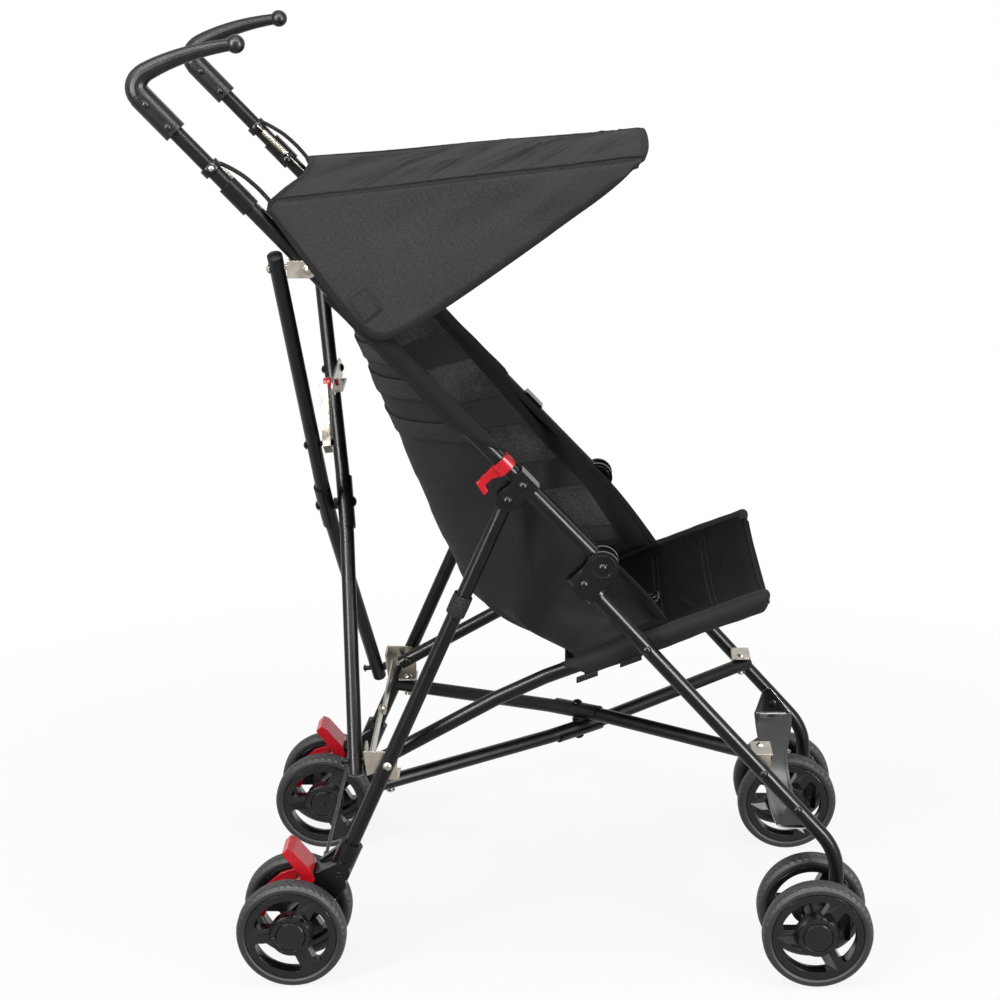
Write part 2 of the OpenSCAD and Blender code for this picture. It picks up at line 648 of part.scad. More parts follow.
// Brake pedal: a ribbed foot pad on two cheeks that straddle the hub, with a claw behind the axle
pedal_half = hub_half + gap + 4;
module pedal_2d() {
    p = brake_pivot;
    polygon([p + [-18, 40], p + [-12, 46], p + [-5, 43], p + [14, 20], p + [17, 10], p + [12, -4],
        p + [6, -9], p + [-4, -9], p + [-12, -6], p + [-34, -20], p + [-40, -34], p + [-46, -33],
        p + [-42, -14], p + [-24, 2], p + [-9, 7], p + [2, 12], p + [-1, 18]]);
}
module brake_pedal() {
    in_side() {
        difference() {
            union() {
                difference() {
                    translate([0, 0, -pedal_half]) linear_extrude(2 * pedal_half) pedal_2d();
                    // slot for the hub between the cheeks
                    at(brake_pivot, -hub_half - gap) linear_extrude(2 * (hub_half + gap))
                        polygon([[-60, -44], [40, -44], [40, 11.5], [-8, 11.5], [-20, 6], [-60, 6]]);
                    translate([0, 0, -hub_half - gap]) linear_extrude(2 * (hub_half + gap))
                        link_2d(rear_pt(rear_len - 20), brake_pivot, 12, 8);
                }
                translate([0, 0, -hub_half - gap]) linear_extrude(2 * (hub_half + gap))
                    translate(brake_pivot) polygon([[-46, -33], [-40, -34], [-37, -26], [-43, -20]]);
                for (t = [0 : 3]) at(brake_pivot + [-10 + 4.6 * t, 42.5 - 5.2 * t])
                    cylinder(r = 1.1, h = 2 * pedal_half - 8, center = true, $fn = 16);
            }
            at(brake_pivot) hole();
        }
        at(brake_pivot) rivet(-pedal_half - fit, pedal_half + fit, 4.4);
    }
}
module brake_pedal_right() { color(red) brake_pedal(); }
module brake_pedal_left() { color(red) to_left() brake_pedal(); }
module brake_cable() {
    half = side_y - hub_half - 4 - gap;
    color(plastic) translate([cable_pt[0], -half, cable_pt[1]]) rotate([-90, 0, 0])
        cylinder(r = 2, h = 2 * half);
}

// Rear brackets: plate on the leg rivet and a web that carries the strut and spreader pin
pin_y = side_y - bracket_y;
web_at = 13;
// Layers of the spreader bars in front of the strut plane
spread_x = 16;
spread_step = sheet + 0.7;
function web_pt(k) = strut_bot + (web_at + sheet / 2) * [cos(strut_tilt), sin(strut_tilt)]
    + k * [-sin(strut_tilt), cos(strut_tilt)];
module rear_bracket() {
    in_side() difference() {
        translate([0, 0, -tube_r - gap - sheet]) linear_extrude(sheet) {
            translate(rear_pin) circle(r = 10);
            polygon([web_pt(18), web_pt(-10), rear_pin - [0, 10], rear_pin + [0, 10]]);
        }
        at(rear_pin) hole();
    }
    translate([0, -bracket_y, 0]) strut_pin_frame()
        translate([-18, tube_r + gap - pin_y, web_at]) cube([28, pin_y - tube_r - gap + 10, sheet]);
    // rivet through the leg, with the spacer that stands off the seat rail
    in_side() at(rear_pin) {
        translate([0, 0, -side_y + rail_y + tube_r + gap]) {
            cylinder(r = pin_r, h = side_y - rail_y + gap);
            cylinder(r = 6, h = side_y - rail_y - 2 * tube_r - 2 * (sheet + gap) - 2 * gap);
        }
        translate([0, 0, tube_r + gap]) dome(5, 3);
    }
    // pin that the spreader bar turns on
    translate([0, -bracket_y, 0]) strut_pin_frame() {
        translate([0, 0, spread_x - 2]) cylinder(r = pin_r, h = 2 * spread_step + 2);
        translate([0, 0, spread_x + 2 * spread_step]) dome(5, 1.6);
    }
}
module strut_pin_frame() {
    translate([strut_bot[0], 0, strut_bot[1]]) rotate([0, 90 - strut_tilt, 0]) children();
}
module rear_bracket_right() { color(plated) rear_bracket(); }
module rear_bracket_left() { color(plated) to_left() rear_bracket(); }

// Rear swivels: hang on the leg rivets and hold the lower braces on upright pins
module rear_swivel() {
    zi = -tube_r - 2 * gap - 2 * sheet;
    top = brace_low - tube_r - brace_room;
    in_side() difference() {
        union() {
            translate([0, 0, zi]) linear_extrude(sheet) {
                translate(rear_pin) circle(r = 9);
                at(rear_pin) translate([-9, -top]) square([18, top]);
            }
            at(rear_pin) translate([-11, -top, -pin_y - 10]) cube([22, sheet, pin_y + 10 + zi + sheet]);
        }
        at(rear_pin) hole();
    }
    translate([rear_pin[0], -bracket_y, brace_rear_z]) brace_pin_up();
}
// upright pin through a brace end, with a dome under the brace and one on the tab
module brace_pin_up() {
    r = tube_r + brace_room;
    translate([0, 0, -r]) cylinder(r = pin_r, h = 2 * r + 1);
    translate([0, 0, -r]) mirror([0, 0, 1]) dome(5, 3);
    translate([0, 0, r + sheet - e]) dome(5, 3);
}
module rear_swivel_right() { color(plated) rear_swivel(); }
module rear_swivel_left() { color(plated) to_left() rear_swivel(); }

// Lower braces: a second crossing pair, one bowed up and one bowed down
brace_tail = 13;
brace_nose = 11;
function brace_z(s, x) = -s * brace_bow * min(1, x < brace_mid ? x / (brace_mid - brace_run)
    : (brace_len - x) / (brace_len - brace_mid - brace_run));
function brace_path(s) = [for (x = [-brace_tail, brace_mid - brace_run, brace_mid + brace_run,
    brace_len + brace_nose]) [x, brace_z(s, x)]];
module brace(s) {
    difference() {
        rotate([90, 0, 0]) mitre_tube(brace_path(s));
        for (x = [0, brace_len]) translate([x, 0, 0]) rotate([0, brace_pitch, 0]) hole();
        translate([brace_mid, 0, 0]) hole();
    }
    translate([brace_mid, 0, 0]) rotate([0, 90, 0]) saddle(s);
}
module lower_brace_c() { color(steel) brace_frame(1) brace(1); }
module lower_brace_d() {
    color(steel) brace_frame(-1) {
        brace(-1);
        translate([brace_mid, 0, brace_bow + tube_r + saddle_wall + gap / 2]) dome(6, 3.5);
        translate([brace_mid, 0, brace_bow - tube_r + 2]) cylinder(r = pin_r, h = tube_d);
    }
}
module lower_x_bolt() {
    color(steel) brace_frame(1) translate([brace_mid, 0, -brace_bow]) {
        translate([0, 0, -tube_r - saddle_wall - gap / 2]) {
            cylinder(r = pin_r, h = tube_d + saddle_wall + gap);
            mirror([0, 0, 1]) dome(6, 3.5);
        }
        translate([0, 0, tube_r + gap / 2]) cylinder(r = 6.5, h = 2 * (brace_bow - tube_r) - gap - 0.9);
    }
}

// Front brackets: hooked on the front ends of the lower braces, lying against the front legs
front_rise = tube_r + brace_room;
module front_bracket() {
    zi = -tube_r - gap - sheet;
    top = brace_front_z + front_rise;
    in_side() {
        translate([0, 0, zi]) linear_extrude(sheet) {
            translate(brace_pin) circle(r = 9);
            translate([brace_pin[0] - 9, brace_pin[1]]) square([18, top - brace_pin[1] + sheet]);
        }
        translate([brace_pin[0] - 11, top, -side_y + brace_front_y - 10])
            cube([22, sheet, side_y - brace_front_y + 10 + zi + sheet]);
    }
    translate([brace_pin[0], -brace_front_y, brace_front_z]) brace_pin_up();
    in_side() at(brace_pin, zi - gap / 4) mirror([0, 0, 1]) dome(5, 2.5);
}
module front_bracket_right() { color(plated) front_bracket(); }
module front_bracket_left() { color(plated) to_left() front_bracket(); }

// Spreader: two flat bars that lie straight across the back and knee up as the sides close
module spreader_bar(x) {
    strut_pin_frame() translate([0, -bracket_y, x]) difference() {
        linear_extrude(sheet) link_2d([0, 0], [0, bracket_y], 7, 6);
        hole();
    }
}
module knee_head(x) { strut_pin_frame() translate([0, 0, x]) dome(4.6, 2.4); }
module spreader_right() {
    color(plated) {
        spreader_bar(spread_x);
        strut_pin_frame() translate([0, 0, spread_x]) mirror([0, 0, 1]) dome(4.6, 2.4);
    }
}
module spreader_left() {
    color(plated) {
        to_left() spreader_bar(spread_x + spread_step);
        knee_head(spread_x + spread_step + sheet);
    }
}
// Front legs: straight, then bent down into the swivel stem, with their rivets
module front_leg() {
    in_side() {
        difference() {
            tube_path([leg_pt(-12), leg_corner, [swivel_x, stem_z]]);
            at(leg_top) hole();
            at(rail_pin) hole();
            at(brace_pin) hole();
            at(leg_pt(foot_at)) hole();
        }
        at(brace_pin) rivet(-tube_r + 1.5, tube_r + gap / 2, 5, false);
        at(leg_pt(foot_at)) rivet(-tube_r + 1.5, tube_r + gap / 2, 5, false);
        // pivot of the seat rail, with its spacer
        at(rail_pin) {
            rivet(-side_y + rail_y - tube_r - gap, tube_r + gap / 2, 5);
            translate([0, 0, -side_y + rail_y + tube_r + gap]) cylinder(r = 6,
                h = side_y - rail_y - 2 * tube_r - 2 * gap);
        }
    }
}
module front_leg_right() { color(steel) front_leg(); }
module front_leg_left() { color(steel) to_left() front_leg(); }

// Knee bracket: a moulded shoe on the front leg top, hinged on the end of the push tube
module knee_bracket() {
    wall = 4;
    z0 = tube_r + gap;
    in_side() difference() {
        union() {
            for (s = [0, 1]) mirror([0, 0, s]) translate([0, 0, z0]) linear_extrude(wall)
                link_2d(knee, leg_pt(4), 17.5, 14);
            for (s = [0, 1]) mirror([0, 0, s]) translate([0, 0, z0 + wall - e]) at(knee)
                cylinder(r = 14, h = 1.2);
            bar_path([leg_pt(-14), leg_pt(22)], 1, tube_d + 2 * (wall + gap) - 0.6);
        }
        for (s = [0, 1]) mirror([0, 0, s]) translate([0, 0, z0 + wall + 0.6]) at(knee)
            cylinder(r = 10.5, h = 4);
        bar_path([leg_pt(-40), leg_pt(60)], 1, tube_d + 2 * fit);
        // room for the end of the push tube
        at(knee) cylinder(r = 19.5, h = tube_d + 2 * gap, center = true);
        at(knee) hole();
        at(leg_top) hole();
    }
    in_side() {
        at(knee) rivet(-z0 - wall - 0.6, z0 + wall + 0.6, 5.2);
        at(leg_top) rivet(-z0 - wall - 0.2, z0 + wall + 0.2, 5);
    }
}
module knee_bracket_right() { color(plastic) knee_bracket(); }
module knee_bracket_left() { color(plastic) to_left() knee_bracket(); }

// Seat rails
module seat_rail() {
    in_side(rail_y - side_y) {
        difference() {
            mitre_tube([rear_pin - [9, 5.3], rail_bend - 0.2 * (rail_bend - rear_pin),
                rail_bend + 28 * rail_dir, rail_front]);
            at(rail_pin) hole();
        }
        at(rear_pin, -tube_r - gap / 4) mirror([0, 0, 1]) dome(5, 3);
        at(rail_front + 0.2 * rail_dir) rotate([0, 0, atan2(rail_dir[1], rail_dir[0])])
            rotate([0, 90, 0]) end_cap();
    }
}
module seat_rail_right() { color(steel) seat_rail(); }
module seat_rail_left() { color(steel) to_left() seat_rail(); }

// Seat base: a sling between the rails, with a pocket round each rail
function rail_z(x) = rail_bend[1] + (x - rail_bend[0]) * rail_dir[1] / rail_dir[0];
base_half = rail_y - tube_r - 4;
function base_pt(u, v, t) = let (x = -34 + u * (rail_front_x + 34), k = 1 - v * v)
    [x, v * base_half,
        (x > rail_bend_x ? rail_z(x) : rail_bend[1] + 0.62 * (rail_bend_x - x)) - seat_sag * k
            + t + (u > 0.9 ? -40 * (u - 0.9) : 0)];
module seat_base() {
    m = 18;
    n = 14;
    color(cloth) {
        skin([for (i = [0 : m]) [for (j = [0 : n]) base_pt(i / m, -1 + 2 * j / n, cloth_t / 2)]],
            [for (i = [0 : m]) [for (j = [0 : n]) base_pt(i / m, -1 + 2 * j / n, -cloth_t / 2)]]);
        for (s = [0, 1]) mirror([0, s, 0]) rail_pocket();
    }
}
module rail_pocket() {
    a = rail_bend + rail_dir * 62;
    b = rail_front - rail_dir * 3;
    in_side(rail_y - side_y) difference() {
        bar_path([a, b], 1, tube_d + 4);
        bar_path([a - rail_dir, b + rail_dir], 1, tube_d + 2 * gap);
        at(rail_pin) cylinder(r = 8, h = 100, center = true);
    }
}

// Seat back: a deep sling hung from the push tubes, with side wings
back_top = clevis_at - 24;
back_half = side_y - tube_r - 8.6;
function back_edge(u) = push_pt(back_top - u * (back_top + 66)) - 4 * push_low;
function back_line(u) = push_pt(back_top - u * (back_top - 40)) + push_low * (6 + back_depth * pow(u, 0.8))
    + [-u * 34, -u * 16];
function back_pt(u, v, t) = let (w = 1 - pow(abs(v), 3.2), q = back_edge(u) * (1 - w) + back_line(u) * w)
    [q[0] + t, v * back_half, q[1] + t * 0.3];
loop_len = 26;
loops_at = [196, 262];
// a webbing loop round the push tube, with the tab that is sewn to the sling
module sling_loop(t) {
    in_side() {
        difference() {
            bar_path([push_pt(t), push_pt(t + loop_len)], 1, tube_d + 4);
            bar_path([push_pt(t - 1), push_pt(t + loop_len + 1)], 1, tube_d + 2 * gap);
        }
        reach = side_y - back_half + 1.5;
        at(push_pt(t)) rotate([0, 0, 180 - push_angle]) translate([0.5, -6.5, -reach])
            cube([loop_len - 1, 3, reach - tube_r + 0.2]);
    }
}
module seat_back() {
    m = 20;
    n = 20;
    color(cloth) {
        skin([for (i = [0 : m]) [for (j = [0 : n]) back_pt(i / m, -1 + 2 * j / n, cloth_t)]],
            [for (i = [0 : m]) [for (j = [0 : n]) back_pt(i / m, -1 + 2 * j / n, 0)]]);
        for (s = [0, 1]) mirror([0, s, 0]) for (t = loops_at) sling_loop(t);
    }
}

// Canopy: a taut roof with drop sides that end in a rounded corner at each push tube
canopy_low_x = -121;
canopy_low_z = 706;
canopy_roof = 850;
function blend_max(a, b, k) = (a + b + sqrt((a - b) * (a - b) + k * k)) / 2;
function canopy_z(x) = canopy_roof + 28 * (x + canopy_rear) / (canopy_front + canopy_rear);
// the rear hem lies along the push tube, the front hem rises to the peak
function tube_top(x) = knee_z + (knee_x - x) * tan(push_angle) + (tube_r + 0.2) / cos(push_angle);
function canopy_low(x) = min(canopy_z(x) - 7,
    blend_max(tube_top(x), canopy_low_z + (x - canopy_low_x) * 0.575, 14));
canopy_js = [-1, -1, -1, -0.97, -0.88, -0.6, -0.3, 0, 0.3, 0.6, 0.88, 0.97, 1, 1, 1];
canopy_ks = [0, 0.35, 0.7, 0.95, 1, 1, 1, 1, 1, 1, 1, 0.95, 0.7, 0.35, 0];
function canopy_pt(x, j, t) = let (v = canopy_js[j], k = canopy_ks[j], h = canopy_z(x), l = canopy_low(x),
    y = v * (canopy_half - 12 * k) , arch = 10 * (1 - v * v) * k)
    [x, y - sign(v) * t * (abs(v) > 0.9 ? 1 : 0), l + (h + arch - l) * k - (k > 0.9 ? t : 0)];
module canopy() {
    m = 22;
    function sx(i) = -canopy_rear + (canopy_front + canopy_rear) * i / m;
    color(cloth) skin(
        [for (i = [0 : m]) [for (j = [0 : 14]) canopy_pt(sx(i), 14 - j, 0)]],
        [for (i = [0 : m]) [for (j = [0 : 14]) canopy_pt(sx(i), 14 - j, canopy_t)]]);
}

// Footrest: a glossy moulded band that hangs between the front legs on two end tabs
foot_half = side_y - tube_r - gap;
foot_end = leg_pt(foot_at);
foot_in = foot_half - 1;
foot_r = (foot_in * foot_in + foot_sag * foot_sag) / (2 * foot_sag);
module footrest() {
    a = asin(foot_in / foot_r);
    color(plastic) {
        translate([foot_end[0] - foot_w * 0.6, 0, foot_end[1] + foot_r - foot_sag]) rotate([90, 0, 90])
            rotate([0, 0, -90 - a]) rotate_extrude(angle = 2 * a, $fn = 180)
                translate([foot_r - foot_t, 0]) square([foot_t, foot_w]);
        for (s = [0, 1]) mirror([0, s, 0]) in_side() translate([0, 0, -tube_r - gap - 3])
            linear_extrude(3) link_2d(foot_end, foot_end + [-4, -8], 9, 14);
    }
}

// Front forks: swivel housings that turn on the leg stems
module front_fork() {
    in_side() difference() {
        union() {
            translate([swivel_x, stem_z - 12]) rotate([-90, 0, 0]) cylinder(r = 13.5, h = 44);
            translate([0, 0, -13]) linear_extrude(26)
                link_2d(front_axle, [swivel_x, stem_z - 2], 13, 12);
            translate([swivel_x + 10, stem_z - 28, -9]) cube([6, 38, 18]);
            at(front_axle, -twin_pitch / 2 + tyre_w / 2 + gap) cylinder(r = 11,
                h = twin_pitch - tyre_w - 2 * gap);
        }
        translate([swivel_x, stem_z - gap]) rotate([-90, 0, 0]) cylinder(r = tube_r + fit, h = 100);
        at(front_axle) cylinder(d = axle_d + 2 * fit, h = through, center = true);
    }
}
module front_fork_right() { color(plastic) front_fork(); }
module front_fork_left() { color(plastic) to_left() front_fork(); }

// Wheels: a three-spoke rim with a cap and screws, and a tyre of its own
rim_r = wheel_r - tyre_h;
// A window between two spokes, with its outer corners cut off
module window_2d() {
    r = rim_r - 8.6;
    corner = asin(spoke_half / r);
    intersection() {
        difference() {
            circle(r = r);
            circle(r = hub_ring_r + 1);
        }
        translate([-60, spoke_half]) square([120, 60]);
        rotate([0, 0, 120]) translate([-60, -spoke_half - 60]) square([120, 60]);
        corner_cuts(r * cos(45) - 2.6, 105 - corner);
    }
}
module corner_cuts(d, turn) {
    intersection_for(s = [-1, 1]) rotate([0, 0, 60 + s * turn]) translate([d - 90, -60]) square([90, 120]);
}
// The valley of two facets down each spoke, deep at the hub ring and running out at the rim
valley_tip = rim_r - 4;
valley_dip = 15;
valley_side = 24;
module spoke_valley(z) {
    run = valley_tip - hub_ring_r - 0.6;
    translate([valley_tip, 0, z]) rotate([0, -valley_dip, 0]) for (s = [0, 1]) mirror([0, s, 0])
        rotate([valley_side, 0, 0]) translate([-run, 0, 0]) cube([run, 24, 12]);
}
module rim() {
    w = tyre_w - 3;
    difference() {
        rotate_extrude() polygon([[0, -w / 2 + 4], [hub_ring_r, -w / 2 + 4], [hub_ring_r + 3, -4],
            [rim_r - 8, -4], [rim_r - 7, -w / 2], [rim_r - 1, -w / 2], [rim_r, -w / 2 + 1],
            [rim_r, w / 2 - 1], [rim_r - 1, w / 2], [hub_ring_r + 2, w / 2 - 0.4],
            [hub_ring_r + 0.4, w / 2 - 1.4], [hub_ring_r - 0.4, w / 2 + 0.4], [hub_cap_r + 1, w / 2 + 0.4],
            [hub_cap_r + 0.4, w / 2 - 0.8], [hub_cap_r - 0.4, w / 2 + 0.8], [hub_cap_r - 3, w / 2 + 1.7],
            [0, w / 2 + 2.2]]);
        for (k = [0 : 2]) rotate([0, 0, 120 * k]) {
            translate([0, 0, -30]) linear_extrude(60) window_2d();
            spoke_valley(w / 2);
            // the seat of a screw, and a small hole between two of them
            translate([hub_ring_r - 3, 0, w / 2 - 3]) cylinder(r = 2.4, h = 20);
            rotate([0, 0, 60]) translate([hub_ring_r - 3, 0, w / 2 - 2]) cylinder(r = 0.9, h = 20);
        }
        translate([0, 0, -40]) cylinder(d = axle_d + 2 * fit, h = 40 + w / 2 - 2);
    }
    for (k = [0 : 2]) rotate([0, 0, 120 * k]) translate([hub_ring_r - 3, 0, w / 2 - 3 + 2 * e])
        cylinder(r = 2.1, h = 3);
}
module tyre() {
    r0 = rim_r + fit;
    w = tyre_w;
    rotate_extrude($fn = 96) polygon([[r0, -w / 2 + 1.5], [r0 + 2, -w / 2], [wheel_r - 4.5, -w / 2],
        [wheel_r - 1.2, -w / 2 + 3.5], [wheel_r, -w / 2 + 8], [wheel_r, w / 2 - 8],
        [wheel_r - 1.2, w / 2 - 3.5], [wheel_r - 4.5, w / 2], [r0 + 2, w / 2], [r0, w / 2 - 1.5]]);
}
module wheel(p, out) {
    in_side() at(p) mirror([0, 0, out > 0 ? 0 : 1]) translate([0, 0, twin_pitch / 2]) rotate([0, 0, 60]) {
        rim();
        tyre();
    }
}
module wheel_rear_right_outer() { color(plastic) wheel(rear_axle, 1); }
module wheel_rear_right_inner() { color(plastic) wheel(rear_axle, -1); }
module wheel_rear_left_outer() { color(plastic) to_left() wheel(rear_axle, 1); }
module wheel_rear_left_inner() { color(plastic) to_left() wheel(rear_axle, -1); }
module wheel_front_right_outer() { color(plastic) wheel(front_axle, 1); }
module wheel_front_right_inner() { color(plastic) wheel(front_axle, -1); }
module wheel_front_left_outer() { color(plastic) to_left() wheel(front_axle, 1); }
module wheel_front_left_inner() { color(plastic) to_left() wheel(front_axle, -1); }

rear_x_bolt();
rear_strut_a();
rear_strut_b();
lock_lever();
lock_yoke();
lock_spring();
release_button();
clevis_right();
clevis_left();
push_tube_right();
push_tube_left();
grip_right();
grip_left();
pivot_plate_right();
pivot_plate_left();
canopy_clip_right();
canopy_clip_left();
transport_catch();
rear_leg_right();
rear_leg_left();
rear_hub_right();
rear_hub_left();
rear_axle_right();
rear_axle_left();
brake_pedal_right();
brake_pedal_left();
brake_cable();
rear_bracket_right();
rear_bracket_left();
rear_swivel_right();
rear_swivel_left();
front_leg_right();
front_leg_left();
knee_bracket_right();
knee_bracket_left();
front_bracket_right();
front_bracket_left();
lower_brace_c();
lower_brace_d();
lower_x_bolt();
spreader_right();
spreader_left();
seat_rail_right();
seat_rail_left();
seat_base();
seat_back();
canopy();
footrest();
front_fork_right();
front_fork_left();
front_axle_right();
front_axle_left();
wheel_rear_right_outer();
wheel_rear_right_inner();
wheel_rear_left_outer();
wheel_rear_left_inner();
wheel_front_right_outer();
wheel_front_right_inner();
wheel_front_left_outer();
wheel_front_left_inner();
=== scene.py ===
import math

import bpy
import numpy as np
from mathutils import Matrix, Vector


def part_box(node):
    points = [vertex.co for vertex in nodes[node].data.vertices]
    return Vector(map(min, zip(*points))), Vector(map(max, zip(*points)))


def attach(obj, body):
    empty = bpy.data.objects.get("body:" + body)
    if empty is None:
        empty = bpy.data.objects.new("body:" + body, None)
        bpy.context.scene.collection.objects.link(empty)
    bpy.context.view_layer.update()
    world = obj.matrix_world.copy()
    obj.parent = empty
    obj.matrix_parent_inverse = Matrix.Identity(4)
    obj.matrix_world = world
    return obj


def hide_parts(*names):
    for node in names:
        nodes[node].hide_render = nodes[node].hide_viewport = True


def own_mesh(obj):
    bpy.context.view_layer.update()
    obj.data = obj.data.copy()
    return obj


# Umbrella stroller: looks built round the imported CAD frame. Metres, +X forward, +Y left, +Z up.
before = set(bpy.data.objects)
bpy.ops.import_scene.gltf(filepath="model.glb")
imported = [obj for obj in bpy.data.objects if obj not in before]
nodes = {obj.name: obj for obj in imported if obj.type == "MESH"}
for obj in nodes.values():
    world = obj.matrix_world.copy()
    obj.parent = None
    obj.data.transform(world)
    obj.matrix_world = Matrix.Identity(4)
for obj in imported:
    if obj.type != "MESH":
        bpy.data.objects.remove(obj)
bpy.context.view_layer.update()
MM = 0.001

# Route of the frame, repeated from the part's source, in millimetres
SIDE = 184.0
TUBE_R = 8.0
KNEE = np.array([92.0, 466.0])
LEAN = math.radians(46.7)
UP = np.array([-math.cos(LEAN), math.sin(LEAN)])
LOW = np.array([-math.sin(LEAN), -math.cos(LEAN)])
RAIL_Y = 157.0
RAIL_BEND = np.array([5.0, 322.0])
LEG_TOP = KNEE + 27.0 * LOW
LEG_LEAN = math.radians(48.2)
LEG_DIR = np.array([math.cos(LEG_LEAN), -math.sin(LEG_LEAN)])
RAIL_PIN = LEG_TOP + 100.0 * LEG_DIR
RAIL_SLOPE = (RAIL_PIN[1] - RAIL_BEND[1]) / (RAIL_PIN[0] - RAIL_BEND[0])
FOOT_END = LEG_TOP + 345.0 * LEG_DIR
REAR_TOP = KNEE + 121.0 * UP + 22.6 * LOW
REAR_LEAN = math.radians(66.0)
REAR_DIR = np.array([-math.cos(REAR_LEAN), -math.sin(REAR_LEAN)])
SIDES = ((-1, "right"), (1, "left"))


def push_pt(t):
    """A point [x, z] on a push tube, at a length up from the knee."""
    return KNEE + t * UP


def rail_z(x):
    return RAIL_BEND[1] + (x - RAIL_BEND[0]) * RAIL_SLOPE


# Camera at the photograph's viewing angle
PITCH, YAW, ROLL = math.radians(15.49), math.radians(-1.68), math.radians(-0.63)
CAMERA_AT = (0.054, -2.543, 1.191)
FOCAL_PIXELS, PHOTO_PIXELS, SENSOR = 2342.0, 1000.0, 36.0


def set_axes(obj, x, y, z, at):
    """Place an object by its three axes and its origin."""
    m = Matrix.Identity(4)
    for i in range(3):
        m[i][0], m[i][1], m[i][2], m[i][3] = x[i], y[i], z[i], at[i]
    obj.matrix_world = m


def add_object(name, data):
    obj = bpy.data.objects.new(name, data)
    bpy.context.scene.collection.objects.link(obj)
    return obj


def add_camera():
    ahead = np.array([math.sin(YAW) * math.cos(PITCH), math.cos(YAW) * math.cos(PITCH), -math.sin(PITCH)])
    level = np.array([math.cos(YAW), -math.sin(YAW), 0.0])
    above = np.cross(level, ahead)
    right = level * math.cos(ROLL) + above * math.sin(ROLL)
    up = above * math.cos(ROLL) - level * math.sin(ROLL)
    data = bpy.data.cameras.new("camera")
    data.sensor_width = SENSOR
    data.lens = SENSOR * FOCAL_PIXELS / PHOTO_PIXELS
    data.clip_end = 60.0
    cam = add_object("camera", data)
    set_axes(cam, right, up, -ahead, CAMERA_AT)
    bpy.context.scene.camera = cam


add_camera()


# Materials, all from nodes
def add_node(tree, kind, inputs=None, **settings):
    """A shader node. An input given as a socket is linked, any other value is set."""
    node = tree.nodes.new(kind)
    for key, value in settings.items():
        setattr(node, key, value)
    for key, value in (inputs or {}).items():
        if isinstance(value, bpy.types.NodeSocket):
            tree.links.new(value, node.inputs[key])
        else:
            node.inputs[key].default_value = value
    return node


class Material:
    """A Principled material in the making, with the relief gathered so far."""

    def __init__(self, name, metallic=0.0, sheen=0.0, specular=0.5):
        self.mat = bpy.data.materials.new(name)
        self.mat.use_nodes = True
        self.tree = self.mat.node_tree
        self.shader = self.tree.nodes["Principled BSDF"]
        self.coord = self.new("ShaderNodeTexCoord").outputs
        self.normal = None
        levels = {"Metallic": metallic, "Sheen Weight": sheen, "Sheen Roughness": 0.45,
                  "Specular IOR Level": specular}
        for key, value in levels.items():
            self.shader.inputs[key].default_value = value

    def new(self, kind, inputs=None, **settings):
        return add_node(self.tree, kind, inputs, **settings)

    def math(self, op, *values):
        return self.new("ShaderNodeMath", dict(enumerate(values)), operation=op).outputs[0]

    def sum(self, a, share_a, b, share_b):
        return self.math("ADD", self.math("MULTIPLY", a, share_a), self.math("MULTIPLY", b, share_b))

    def share(self, wave):
        """A wave from -1 to 1, brought to 0 to 1."""
        return self.math("MULTIPLY", self.math("ADD", wave, 1.0), 0.5)

    def ripple(self, value, pitch):
        """A sine along a coordinate, with its pitch in millimetres."""
        return self.math("SINE", self.math("MULTIPLY", value, 2.0 * math.pi / (pitch * MM)))

    def noise(self, scale, detail=3.0, rough=0.55, at=None):
        inputs = {"Scale": scale, "Detail": detail, "Roughness": rough, "Vector": at or self.coord["Object"]}
        return self.new("ShaderNodeTexNoise", inputs).outputs["Fac"]

    def stretch(self, scale):
        """The coordinates along and across a cloth, stretched."""
        return self.new("ShaderNodeMapping", {"Vector": self.coord["UV"], "Scale": scale}).outputs["Vector"]

    def split(self, vector):
        return self.new("ShaderNodeSeparateXYZ", {0: vector}).outputs

    def ramp(self, fac, stops):
        node = self.new("ShaderNodeValToRGB", {"Fac": fac})
        for mark, (place, colour) in zip(node.color_ramp.elements, stops):
            mark.position = place
            mark.color = (*colour, 1.0)
        return node.outputs["Color"]

    def span(self, fac, lo, hi, a=0.3, b=0.7):
        inputs = {"Value": fac, "From Min": a, "From Max": b, "To Min": lo, "To Max": hi}
        return self.new("ShaderNodeMapRange", inputs).outputs["Result"]

    def mix(self, fac, a, b):
        return self.new("ShaderNodeMix", {0: fac, 6: a, 7: b}, data_type="RGBA").outputs[2]

    def edge(self, radius):
        self.normal = self.new("ShaderNodeBevel", {"Radius": radius}, samples=4).outputs["Normal"]

    def bump(self, height, strength, depth):
        inputs = {"Strength": strength, "Distance": depth, "Height": height}
        if self.normal is not None:
            inputs["Normal"] = self.normal
        self.normal = self.new("ShaderNodeBump", inputs).outputs["Normal"]

    def finish(self, colour, rough):
        for key, socket in (("Base Color", colour), ("Roughness", rough), ("Normal", self.normal)):
            if socket is not None:
                self.tree.links.new(socket, self.shader.inputs[key])
        return self.mat


def hard(name, dark, light, rough, grain, depth, blotch=28.0, edge=0.0007, **more):
    """A painted or moulded surface: slow colour drift, fine grain in its relief, rounded edges."""
    m = Material(name, **more)
    slow = m.noise(blotch, 4.0)
    fine = m.noise(grain, 2.0)
    if edge:
        m.edge(edge)
    if depth:
        m.bump(fine, 0.35, depth)
    colour = m.ramp(m.sum(slow, 0.7, fine, 0.3), [(0.35, dark), (0.68, light)])
    return m.finish(colour, m.span(m.noise(blotch * 2.0, 1.0), *rough))


def grey(v):
    return (v, v, v * 1.03)


